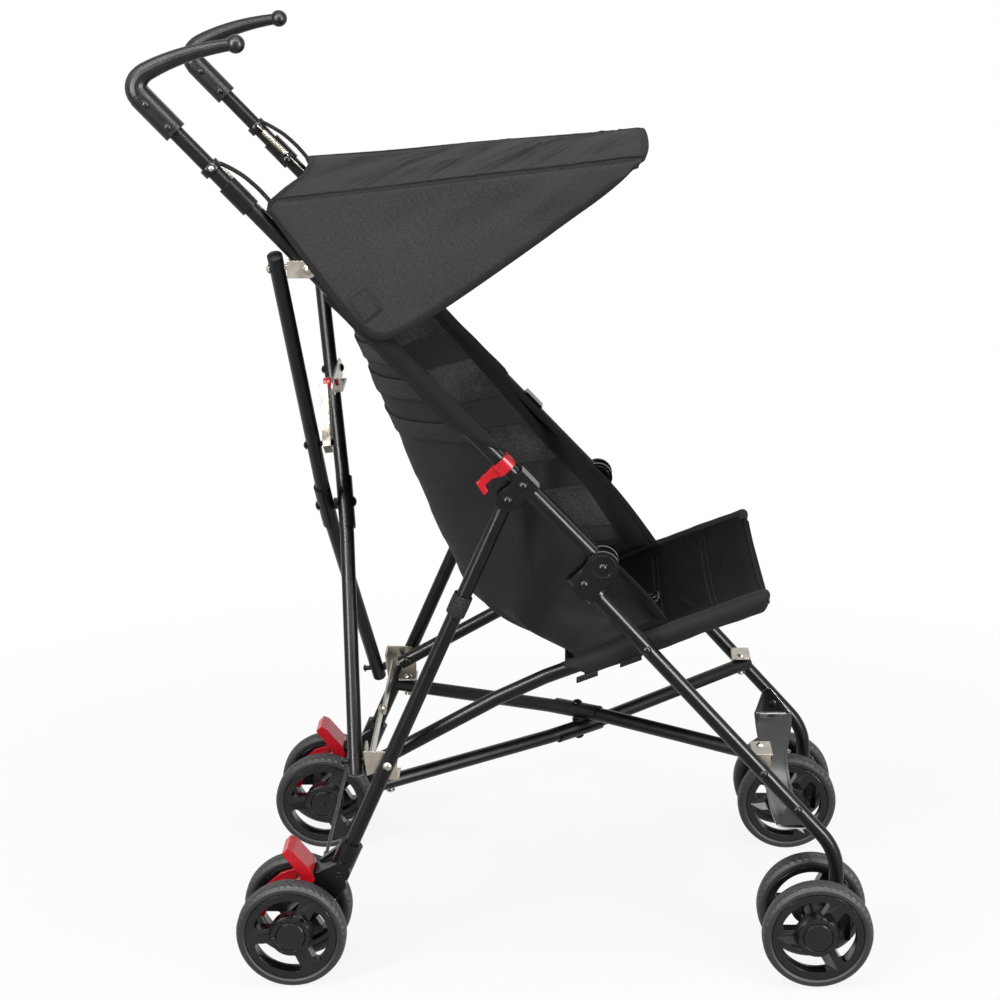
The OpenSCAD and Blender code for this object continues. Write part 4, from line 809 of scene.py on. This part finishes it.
# Seat back: a deep sling inside the push tubes, whose wings turn at the knee down to the seat rails
BACK_TOP, KNEE_EDGE, WING_RUN = 412.0, 6.0, 110.0
WING_BEND, WING_TIP, WING_END_X = np.array([128.0, 436.0]), np.array([160.0, 389.0]), 62.0
BACK_HALF, WING_HALF = SIDE - TUBE_R - 8.6, 147.0
GUSSET_BEND, GUSSET_END = np.array([-24.0, 354.0]), np.array([60.0, 327.0])
GUSSET, EDGE_LIFT = 0.3, 4.0
SLING_RUN, SLING_DEEP, SLING_LEAN = 372.0, 120.0, np.array([-34.0, -16.0])
STRAPS, STRAP_WIDE, GLIDE_AT, GLIDE_LIFT = (0.2165, 0.316, 0.438), 26.0, 0.955, 5.2
# Folds down the sling from the knees, alike on both sides: place across, place down, slant, width and height
SLING_FOLDS = ((0.97, 0.62, 0.30, 0.020, 2.2), (0.90, 0.74, 0.45, 0.030, 2.6), (0.80, 0.88, 0.60, 0.030, 2.4),
               (0.93, 0.98, 0.25, 0.020, 2.0), (0.66, 1.02, 0.50, 0.035, 2.4), (0.45, 1.08, 0.35, 0.040, 2.0))


def back_edge(u):
    """Front edge of a wing: down the push tube to the knee, round to the rail, then back along the rail."""
    if u > 1:
        x = WING_TIP[0] - (WING_TIP[0] - WING_END_X) * (u - 1) / GUSSET
        return np.array([x, rail_z(x) + 8.0 - 10.0 * (u - 1)])
    straight = BACK_TOP - KNEE_EDGE
    d = u * (straight + WING_RUN)
    if d < straight:
        return push_pt(BACK_TOP - d) - EDGE_LIFT * LOW
    return curve(push_pt(KNEE_EDGE) - EDGE_LIFT * LOW, WING_BEND, WING_TIP, (d - straight) / WING_RUN)


def back_line(u):
    """Middle of the sling, down its depth and then forward under the sitter to the base."""
    k = min(u, 1.0)
    q = push_pt(BACK_TOP - k * SLING_RUN) + LOW * (6.0 + SLING_DEEP * k ** 0.8) + k * SLING_LEAN
    if u > 1:
        q = curve(q, GUSSET_BEND, GUSSET_END, (u - 1) / GUSSET)
    return q


def back_grid():
    us = np.concatenate([np.linspace(0, 1, 104), np.linspace(1, 1 + GUSSET, 34)[1:]])
    vs = np.sin(np.linspace(-1, 1, 121) * math.pi / 2)
    rows = []
    for u in us:
        e, c = back_edge(u), back_line(u)
        half = BACK_HALF + (WING_HALF - BACK_HALF) * smooth_step((u - 0.78) / 0.2)
        power = 3.2 - 0.8 * smooth_step((u - 1) / GUSSET)
        w = (1 - np.abs(vs) ** power)[:, None]
        q = e * (1 - w) + c * w
        rows.append(np.stack([q[:, 0] + 3.5, vs * half, q[:, 1] + 1.0], 1))
    return us, vs, np.array(rows)


us, vs, back = back_grid()
bn = grid_normals(back)
U, V = np.meshgrid(us, vs, indexing="ij")
run = lengths(back, 0)[:, None] * np.ones_like(U)
# sewn channels across the inside, soft pulls at the straps, slack, and the folds
cycle = np.modf((run * MM + PANEL_SHIFT) * PANELS)[0] - 0.5
inside = np.clip((0.97 - np.abs(V)) / 0.1, 0, 1) * np.clip((1.02 - U) / 0.06, 0, 1)
puff = inside * 1.1 * np.clip(1 - (np.abs(cycle) / 0.29) ** 4, 0, 1)
pull = np.zeros_like(U)
for u0 in STRAPS:
    pull -= 2.0 * soft_fold(U - u0, 0.035) * np.abs(V) ** 6
drift = 1.2 * np.sin(run / 23.0 + V * 5.0) * np.abs(V) ** 2 + 0.8 * np.sin(run / 41.0 - V * 9.0)
low = np.clip((U - 0.95) / (GUSSET + 0.05), 0, 1)
gusset = -1.6 * low * np.sin(V * 17.0) * np.clip((1 - np.abs(V)) / 0.15, 0, 1)
for v0, u0, turn, w, g in SLING_FOLDS:
    off = (np.abs(V) - v0) + turn * (U - u0)
    gusset -= 1.6 * g * soft_fold(off, w) * soft_fold(U - u0, 0.13)
    gusset += g * soft_fold(off - 2.0 * w, 1.3 * w) * soft_fold(U - u0, 0.11)
fade = np.clip((1 + GUSSET - U) / 0.08, 0, 1) * np.clip((1 - np.abs(V)) / 0.02, 0.2, 1)
back = back + bn * ((puff + drift + gusset) * fade + pull)[..., None]
bn = grid_normals(back)
seat_back = sheet("seat_back_cloth", back, 2.4, [panel_cloth, seat_cloth, lining])
# plain cloth on the wings and below the backrest
which = looks_of(seat_back)
quads = (back.shape[0] - 1) * (back.shape[1] - 1)
qv = (np.abs(V)[1:, 1:] + np.abs(V)[:-1, :-1]).ravel() / 2
qu = (U[1:, 1:] + U[:-1, :-1]).ravel() / 2
which[:quads][(qv > 0.945) | (qu > 0.98)] = 2
which[2 * quads:] = 1
seat_back.data.polygons.foreach_set("material_index", which)

back_trim, back_stitch = [], []
for where in ("first_row", "last_row", "first_col", "last_col"):
    p, inn, n = edge_of(back, bn, where)
    back_trim.append(binding("seat_back_binding_" + where, p, inn, n, [sleeve_cloth], 8.0, 1.9))
    for face in (1.0, -1.0):
        back_stitch += stitch_line(p + inn * 6.2 + n * 2.1 * face, n * face)
# rows along the sewn channels, inside
length_at = lengths(back, 0)
cols = np.where(np.abs(vs) < 0.94)[0]
for k in range(1, 7):
    for edge in (-0.3, 0.3):
        s = ((k + 0.5 + edge) / PANELS - PANEL_SHIFT) / MM
        i = nearest(length_at, s)
        if us[i] <= 1.0 and s > 4.0:
            back_stitch += stitch_line(back[i, cols] + bn[i, cols] * 1.35, bn[i, cols])


def on_back(u, v, lift):
    """A point on the outer side of the sling, and its outward direction there."""
    i, j = np.interp(u, us, np.arange(len(us))), np.interp(v, vs, np.arange(len(vs)))
    a, b = min(int(i), len(us) - 2), min(int(j), len(vs) - 2)
    f, g = i - a, j - b
    both = []
    for grid in (back, bn):
        near = grid[a, b] * (1 - g) + grid[a, b + 1] * g
        far = grid[a + 1, b] * (1 - g) + grid[a + 1, b + 1] * g
        both.append(near * (1 - f) + far * f)
    return both[0] - both[1] * lift, -both[1]


# three ribbed straps round the outside of the sling
per_u = length_at[nearest(us, 1.0)]
for k, u0 in enumerate(STRAPS):
    rows = []
    for a in np.linspace(-0.5, 0.5, 7):
        u = u0 + a * STRAP_WIDE / per_u
        rows.append([on_back(u, v, 2.5)[0] for v in np.sin(np.linspace(-0.83, 0.83, 90) * math.pi / 2)])
    back_trim.append(sheet("back_strap_%d" % k, np.array(rows), 1.5, [webbing]))

seat_stitches = gather("seat_back_stitches", back_stitch, [thread])
carry_all(back_trim + [seat_stitches, seat_back], "push_right", BACK_FOLD)
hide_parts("seat_back")
area = grid_area(back)


# Cloth casings, round the push tubes and round the seat rails. A turn goes from the inner side over the top
CASING_R, CASING_TURNS = 9.7, np.linspace(0, 2 * math.pi, 40, endpoint=False)


def casing(a, r, full, tail, lip):
    """Distances inward and above a tube's axis at a turn: a round casing, a sewn tail and a lip below."""
    wide, reach, flat, rise = tail
    out = near_turn(a, 0.0, wide) * full
    above = math.sin(a) * r * (1 - flat * out) + out * rise
    return math.cos(a) * r + out * reach, above - near_turn(a, lip[0], lip[1]) * full * lip[2]


def casing_rings(point, s, start, slant, stop, count, pinch):
    """Rings of a casing from an end cut on a slant to a straight end. pinch draws the two ends in."""
    starts = [start + slant * (1 - math.sin(a)) / 2 for a in CASING_TURNS]
    rings = []
    for k in np.linspace(0, 1, count):
        more = pinch[0] if k < 0.02 else pinch[1] if k > 0.98 else 0.0
        rings.append([point(s, a, t + (stop - t) * k, more) for a, t in zip(CASING_TURNS, starts)])
    return rings


def casing_seam(name, point, s, turn, lift, places, up):
    """A row of stitches along a casing, at one turn round it."""
    line = [point(s, turn, t, lift) for t in places]
    face = [up[0] * math.sin(turn), -s * math.cos(turn), up[1] * math.sin(turn)]
    return gather(name, stitch_line(line, face), [thread])


# Sleeves on the push tubes, cut on a slant at the lower end and sewn to the sling
SLEEVE_LOW, SLEEVE_SLANT, SLEEVE_TOP = 164.0, 46.0, 404.0
SLEEVE_TAIL, SLEEVE_LIP, SLEEVE_SEAM = (0.34, 8.0, 0.75, 4.0), 1.55 * math.pi, 1.24 * math.pi


def sleeve_point(s, a, t, more):
    """A point of a sleeve, t being the place along the tube."""
    r = CASING_R + 0.3 * math.sin(t / 23.0) + 0.2 * math.sin(t / 7.0 + 1.0) + more
    inward, above = casing(a, r, 1.0, SLEEVE_TAIL, (SLEEVE_LIP, 0.5, 3.4 + 0.9 * math.sin(t / 31.0)))
    q = push_pt(t) - LOW * above
    return [q[0], s * (SIDE - inward), q[1]]


def band(name, at, u_dir, v_dir, axis, r1, r2, width, thick, mats, bulge):
    """A webbing loop: a flat strap round an oval, width along axis."""
    prof = [(-0.5, 0.0), (-0.47, 0.8), (0.0, 1.0), (0.47, 0.8), (0.5, 0.0), (0.0, -0.1)]
    rings, uv = [], []
    for a in np.arange(44) * 2 * math.pi / 44:
        d = u_dir * math.cos(a) * r1 + v_dir * math.sin(a) * r2
        swell = d * (1 + bulge * math.sin(3 * a))
        rings.append([at + swell + unit(d) * h * thick + axis * w * width for w, h in prof])
        uv += [[a * (r1 + r2) / 2, (w + 0.5) * width] for w, _ in prof]
    verts, faces = ring_solid(np.array(rings), closed=True)
    return make(name, verts, faces, mats, None, uv)


def buckle(name, at, x_dir, y_dir, w, h, mats):
    """A tri-glide: a rounded frame with a middle bar."""
    z_dir = np.cross(x_dir, y_dir)
    rings = []
    for a in np.arange(48) * 2 * math.pi / 48:
        ca, sa = math.cos(a), math.sin(a)
        k = 1.0 / (abs(ca) ** 5 + abs(sa) ** 5) ** 0.2
        o = x_dir * ca * k * w / 2 + y_dir * sa * k * h / 2
        out = unit(o)
        rings.append([at + o + (out * math.cos(g) * 1.7 + z_dir * math.sin(g) * 1.3)
                      for g in np.arange(8) * math.pi / 4])
    bar = ((-1 / 2, 1.3), (-1 / 6, 1.5), (1 / 6, 1.5), (1 / 2, 1.3))
    middle = turned([at + x_dir * w * f for f, _ in bar], bar, 8)
    return gather(name, [ring_solid(np.array(rings), closed=True), middle], mats)


LEG_BAND_AT = 128.0
for s, side in SIDES:
    rings = casing_rings(sleeve_point, s, SLEEVE_LOW, SLEEVE_SLANT, SLEEVE_TOP, 74, (-0.8, -0.8))
    sleeve = loft("tube_sleeve_" + side, np.array(rings)[:, ::-s], [sleeve_cloth])
    # stitches by the lower edge of the sleeve, on its outer face
    places = np.linspace(SLEEVE_LOW + SLEEVE_SLANT, SLEEVE_TOP - 4.0, 90)
    seam = casing_seam("tube_sleeve_stitches_" + side, sleeve_point, s, SLEEVE_SEAM, 0.25, places, -LOW)
    carry_all([sleeve, seam], "push_" + side)
    # woven band round the rear leg
    inn = np.array([0.0, -s * 1.0, 0.0])
    c = REAR_TOP + LEG_BAND_AT * REAR_DIR
    at = np.array([c[0], s * SIDE, c[1]])
    ax = np.array([REAR_DIR[0], 0.0, REAR_DIR[1]])
    fore = np.array([-REAR_DIR[1], 0.0, REAR_DIR[0]])
    carry(band("leg_band_" + side, at + inn * 2.0, inn, fore, ax, 11.6, 9.4, 24.0, 1.3, [webbing], 0.012),
          "rear_leg_" + side)

# a tri-glide at each end of the first strap
for s, side in SIDES:
    at, out = on_back(STRAPS[0], s * GLIDE_AT, GLIDE_LIFT)
    ends = [on_back(STRAPS[0], s * (GLIDE_AT + d), GLIDE_LIFT)[0] for d in (0.02, -0.02)]
    along = unit(ends[0] - ends[1])
    glide = buckle("strap_glide_" + side, at, unit(np.cross(out, along)), along, 30.0, 17.0, [buckle_skin])
    carry(glide, "push_right", BACK_FOLD)


# Seat base: a sling between the rails with a pocket round each rail
BASE_X0, BASE_X1, BASE_HALF, BASE_MID = 53.0, 270.0, 145.0, 55
SAG_REAR, SAG_LOSS, NOSE_FROM, NOSE_RUN = 22.0, 14.0, 256.0, 14.0
# Folds of the base: x, place across, slant, width and height
BASE_FOLDS = ((112.0, 0.5, 30.0, 2.6, 1.6), (190.0, -0.5, -26.0, 2.2, 1.3), (140.0, -0.7, 22.0, 2.4, 1.5),
              (236.0, 0.3, 18.0, 2.6, 1.2), (205.0, 0.7, -34.0, 2.2, 1.3), (175.0, 0.1, 40.0, 3.0, 1.0))
# Lines sewn across it: x and depth
BASE_SEAMS = ((160.0, 0.7), (216.0, 0.6))


def base_grid():
    xs = np.linspace(BASE_X0, BASE_X1, 110)
    X, W = np.meshgrid(xs, np.linspace(-1, 1, 110), indexing="ij")
    edge = np.where(X > RAIL_BEND[0], rail_z(X), RAIL_BEND[1])
    grip = smooth_step((X - 50.0) / 25.0)
    sag = SAG_REAR - SAG_LOSS * smooth_step((X - 80.0) / 160.0)
    Z = edge - sag * (1 - np.abs(W) ** 2.2) + 5.0 * grip * np.abs(W) ** 6
    nose = np.clip((X - NOSE_FROM) / NOSE_RUN, 0, 1)
    Z = Z - 9.0 * nose ** 2 - 3.0 * nose
    Y = W * (BASE_HALF + 3.0 * grip)
    X2 = X + 2.0 * (1 - W * W) * nose
    # tension folds from the rails, two sewn lines across, a little slack
    ten = 0.8 * np.sin(X / 13.0 + 1.5 * np.sin(W * 3.0)) * np.abs(W) ** 4 * (1 - np.abs(W) ** 12)
    ten += 0.6 * np.sin(X / 47.0 + W * 4.0) * (1 - W * W)
    for x0, w0, turn, w, g in BASE_FOLDS:
        off = X - x0 - turn * (W - w0)
        ten += g * soft_fold(off, w) * soft_fold(W - w0, 0.3)
        ten -= 0.6 * g * soft_fold(off - 2.2 * w, 1.4 * w) * soft_fold(W - w0, 0.28)
    for x0, depth in BASE_SEAMS:
        ten -= depth * soft_fold(X - x0, 2.6)
        ten += 0.4 * depth * soft_fold(np.abs(X - x0) - 8.0, 5.0)
    Z = Z + ten * (1 - nose)
    return np.stack([X2, Y, Z], -1)


base = base_grid()
sn = grid_normals(base)
# the top skin and the hems take the darker cloth of painted shade
seat_base = sheet("seat_base_cloth", base, 3.0, [base_shaded_cloth, seat_cloth])


def base_row(x):
    return nearest(base[:, BASE_MID, 0], x)


base_trim, base_stitch = [], []
p, inn, n = edge_of(base, sn, "last_row")
base_trim.append(binding("seat_front_hem", p, inn, n, [base_shaded_cloth], 11.0, 2.6))
base_stitch += stitch_line(p + inn * 8.5 + n * 2.9, n)
p, inn, n = edge_of(base, sn, "first_row")
base_trim.append(binding("seat_rear_hem", p, inn, n, [base_shaded_cloth], 7.0, 2.0))
for x0 in (157.0, 163.0, 213.0, 219.0):
    i = base_row(x0)
    base_stitch += stitch_line(base[i, 6:-6] + sn[i, 6:-6] * 1.7, sn[i, 6:-6])

# Pockets round the seat rails, closed and gathered at the front, with a sewn tail towards the sling
POCKET_REAR, POCKET_SLANT, POCKET_FRONT, POCKET_NOSE = 48.0, 26.0, 262.0, 9.0
POCKET_TAIL, POCKET_LIP, POCKET_SEAM = (0.4, 7.0, 0.7, 3.0), 1.45 * math.pi, 1.3 * math.pi


def pocket_point(s, a, x, more):
    r = CASING_R + 0.25 * math.sin(x / 11.0 + s) + 0.15 * math.sin(x / 4.1) + more
    if x > POCKET_FRONT:
        r *= math.sqrt(max(0.03, 1 - ((x - POCKET_FRONT) / POCKET_NOSE) ** 2))
    lip = (POCKET_LIP, 0.34, 6.0 + 0.5 * math.sin(x / 19.0))
    inward, above = casing(a, r, min(1.0, r / 9.0), POCKET_TAIL, lip)
    return [x, s * (RAIL_Y - inward), rail_z(x) + above]


TAB_LONG, TAB_DROP = 23.0, 7.0
for s, side in SIDES:
    rings = casing_rings(pocket_point, s, POCKET_REAR, POCKET_SLANT, POCKET_FRONT, 84, (-0.6, 0.0))
    for k in (0.33, 0.61, 0.83, 0.95, 1.0):
        rings.append([pocket_point(s, a, POCKET_FRONT + POCKET_NOSE * k, 0.0) for a in CASING_TURNS])
    pocket = loft("rail_pocket_" + side, np.array(rings)[:, ::-s], [seat_cloth])
    places = np.linspace(POCKET_REAR + POCKET_SLANT, POCKET_FRONT - 2.0, 60)
    seam = casing_seam("rail_pocket_stitches_" + side, pocket_point, s, POCKET_SEAM, 0.2, places, (0.0, 1.0))
    pieces = [pocket, seam]
    # two short webbing tabs that hang from under the pocket
    for k, x0 in enumerate((76.0, 123.0)):
        tab_run = np.linspace(x0 - TAB_LONG / 2, x0 + TAB_LONG / 2, 12)
        g = [[[x, s * (RAIL_Y + 3.4 - 3.0 * f * f), rail_z(x) - 13.0 - TAB_DROP * f] for x in tab_run]
             for f in np.linspace(0, 1, 8)]
        pieces.append(sheet("pocket_tab_%s_%d" % (side, k), np.array(g), 2.0, [webbing]))
    carry_all(pieces, "seat_rail_" + side)
# crotch strap with a buckle on the sling
i0, i1 = base_row(96.0), base_row(150.0)
strap = np.array([[base[i, j] + sn[i, j] * (2.6 + 3.0 * math.sin(math.pi * (i - i0) / (i1 - i0)))
                   for j in range(BASE_MID - 4, BASE_MID + 4)] for i in range(i0, i1 + 1)])
base_trim.append(sheet("crotch_strap", strap, 1.6, [webbing]))
mid = base[i1, BASE_MID] + sn[i1, BASE_MID] * 6.0
tx = unit(base[i1 + 2, BASE_MID] - base[i1 - 2, BASE_MID])
base_trim.append(buckle("crotch_buckle", mid, tx, np.array([0.0, 1.0, 0.0]), 24.0, 32.0, [buckle_skin]))
base_stitches = gather("seat_base_stitches", base_stitch, [thread])
carry_all(base_trim + [base_stitches, seat_base], "seat_rail_right", BASE_FOLD)
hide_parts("seat_base")
grid_area(base)


# Footrest: a glossy moulded band that hangs from a three-cornered tab on each leg
FOOT_WALL, FOOT_CREASE, FOOT_TIP, FOOT_SAG, FOOT_THICK = SIDE - TUBE_R - 2.0, -26.0, 8.0, 68.0, 2.5
FOOT_REAR, FOOT_FORE = (17.0, 8.0), (14.0, 7.0)
FOOT_RIVET = np.array([FOOT_END[0] + 5.0, FOOT_END[1] - 13.0])
RIVET = ((-0.6, 5.0), (0.4, 5.0), (1.2, 4.2), (1.9, 2.6), (2.2, 0.6))


def footrest_piece():
    """Rings along the band from tip to tip; each is an upper and a lower row of points across the width."""
    band_y = np.linspace(0, FOOT_WALL, 60)
    band_z = FOOT_CREASE - (FOOT_SAG + FOOT_CREASE) * (1 - (band_y / FOOT_WALL) ** 2.2)
    tab_z = np.linspace(FOOT_CREASE, FOOT_TIP, 26)[1:]
    y_run = np.concatenate([band_y, np.full(len(tab_z), FOOT_WALL)])
    half = resample(np.stack([y_run, np.concatenate([band_z, tab_z])], 1), 2.0)
    path = smooth_rows(np.concatenate([half[:0:-1] * [-1, 1], half]), 2)
    tangent = unit(np.gradient(path, axis=0))
    up = np.stack([-tangent[:, 1], tangent[:, 0]], 1)
    rings = []
    for (y, z), lean in zip(path, up):
        out = smooth_step((abs(y) / FOOT_WALL - 0.5) / 0.5)
        tab = 0.0
        if abs(y) > FOOT_WALL - 3.0:
            tab = min(1.0, max(0.0, (z - FOOT_CREASE) / (FOOT_TIP - FOOT_CREASE)))
        shrink = (1 - 0.82 * tab) * math.sqrt(max(0.03, 1 - tab ** 16))
        rear, fore = [(least + more * out) * shrink for least, more in (FOOT_REAR, FOOT_FORE)]
        xc = FOOT_END[0] + 7.0 - 5.0 * (1 - out) - 9.0 * tab
        curl = 2.8 * (1 - tab)
        ring = []
        for side in (1, -1):
            for q in np.linspace(-1, 1, 19)[::side]:
                lift = curl * abs(q) ** 5 + side * FOOT_THICK / 2 * (1 - abs(q) ** 14 * 0.9)
                x = xc + q * (rear if q < 0 else fore)
                ring.append([x, y + lean[0] * lift, FOOT_END[1] + z + lean[1] * lift])
        rings.append(ring)
    return np.array(rings)[:, ::-1]


foot = loft("footrest_band", footrest_piece(), [gloss])
foot_rivets = []
for s, _ in SIDES:
    y0 = s * (SIDE - TUBE_R - 3.5)
    foot_rivets.append(turned([[FOOT_RIVET[0], y0 - s * h, FOOT_RIVET[1]] for h, _ in RIVET], RIVET, 20))
rivets = gather("footrest_rivets", foot_rivets, [moulded])
carry_all([foot, rivets], "front_leg_right", FOOT_FOLD)
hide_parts("footrest")


# Floor, light and background
FLOOR_RINGS, FLOOR_SIDES = (0.6, 1.2, 2.2, 4.0, 9.0), 48
# The floor glows to white with distance from the part: from this share and radius, out to this radius
GLOW_SHARE, GLOW_FROM, GLOW_FULL = 0.88, 0.62, 1.25
WORLD_LIGHT, STRIP_POWER = 0.26, 135.0


def seen_rays(tree, rays):
    """1 for a ray of one of the kinds named."""
    kinds = add_node(tree, "ShaderNodeLightPath").outputs
    seen = kinds[rays[0]]
    for ray in rays[1:]:
        seen = add_node(tree, "ShaderNodeMath", {0: seen, 1: kinds[ray]}, operation="MAXIMUM").outputs[0]
    return seen


def floor_material():
    look = bpy.data.materials.new("floor_white")
    look.use_nodes = True
    tree = look.node_tree
    tree.nodes.clear()
    at = add_node(tree, "ShaderNodeTexCoord").outputs["Object"]
    far = add_node(tree, "ShaderNodeVectorMath", {0: at}, operation="LENGTH").outputs["Value"]
    reach = {"Value": far, "From Min": GLOW_FROM, "From Max": GLOW_FULL, "To Min": GLOW_SHARE}
    share = add_node(tree, "ShaderNodeMapRange", reach).outputs["Result"]
    seen = seen_rays(tree, ("Is Camera Ray", "Is Glossy Ray"))
    glows = add_node(tree, "ShaderNodeMath", {0: share, 1: seen}, operation="MULTIPLY").outputs[0]
    grain = add_node(tree, "ShaderNodeTexNoise", {"Scale": 60.0, "Vector": at}).outputs["Fac"]
    ramp = add_node(tree, "ShaderNodeValToRGB", {"Fac": grain})
    for mark, level in zip(ramp.color_ramp.elements, (0.86, 0.9)):
        mark.color = (level, level, level, 1.0)
    white = add_node(tree, "ShaderNodeBsdfDiffuse", {"Color": ramp.outputs["Color"]}).outputs[0]
    glow = add_node(tree, "ShaderNodeEmission").outputs[0]
    mixed = add_node(tree, "ShaderNodeMixShader", {0: glows, 1: white, 2: glow}).outputs[0]
    add_node(tree, "ShaderNodeOutputMaterial", {"Surface": mixed})
    return look


def add_floor():
    n = FLOOR_SIDES
    turns = [2 * math.pi * i / n for i in range(n)]
    verts = [(0.0, 0.0, 0.0)] + [(r * math.cos(a), r * math.sin(a), 0.0) for r in FLOOR_RINGS for a in turns]
    faces = [(0, 1 + i, 1 + (i + 1) % n) for i in range(n)]
    for k in range(len(FLOOR_RINGS) - 1):
        a = 1 + k * n
        faces += [(a + i, a + n + i, a + n + (i + 1) % n, a + (i + 1) % n) for i in range(n)]
    mesh = bpy.data.meshes.new("floor")
    mesh.from_pydata(verts, [], faces)
    mesh.materials.append(floor_material())
    add_object("floor", mesh)


def add_light(name, place, aim, size, power):
    data = bpy.data.lights.new(name, "AREA")
    data.shape = "RECTANGLE"
    data.size, data.size_y = size
    data.energy = power
    lamp = add_object(name, data)
    z = unit(np.array(place, float) - np.array(aim, float))
    x = unit(np.cross([0.0, 0.0, 1.0], z))
    set_axes(lamp, x, np.cross(z, x), z, place)
    return lamp


add_floor()
add_light("key", (-1.55, -1.75, 1.75), (0.0, 0.0, 0.5), (0.4, 1.7), 40.0)
add_light("fill", (1.75, -1.6, 1.35), (0.0, 0.0, 0.45), (0.32, 1.7), 22.0)
add_light("top", (0.0, -0.2, 2.7), (0.0, 0.0, 0.3), (2.2, 0.7), 26.0)
add_light("rim", (0.4, 2.2, 1.9), (0.0, 0.0, 0.6), (1.9, 0.4), 6.0)
# long reflectors that only show as highlights
STRIPS = (("left_strip", (-1.5, -1.5, 1.5), (0.3, 2.0)), ("top_strip", (0.1, -1.3, 2.5), (2.4, 0.35)),
          ("right_strip", (1.7, -1.3, 1.0), (0.25, 1.6)))
for name, place, size in STRIPS:
    add_light(name, place, (0.0, 0.0, 0.45), size, STRIP_POWER).visible_diffuse = False

world = bpy.data.worlds.new("studio")
bpy.context.scene.world = world
world.use_nodes = True
tree = world.node_tree
seen = seen_rays(tree, ("Is Camera Ray", "Is Glossy Ray", "Is Transmission Ray"))
level = add_node(tree, "ShaderNodeMapRange", {"Value": seen, "To Min": WORLD_LIGHT, "To Max": 1.0})
sky = tree.nodes["Background"].inputs
sky["Color"].default_value = (1.0, 1.0, 1.0, 1.0)
tree.links.new(level.outputs["Result"], sky["Strength"])
bpy.context.scene.view_settings.view_transform = "Standard"
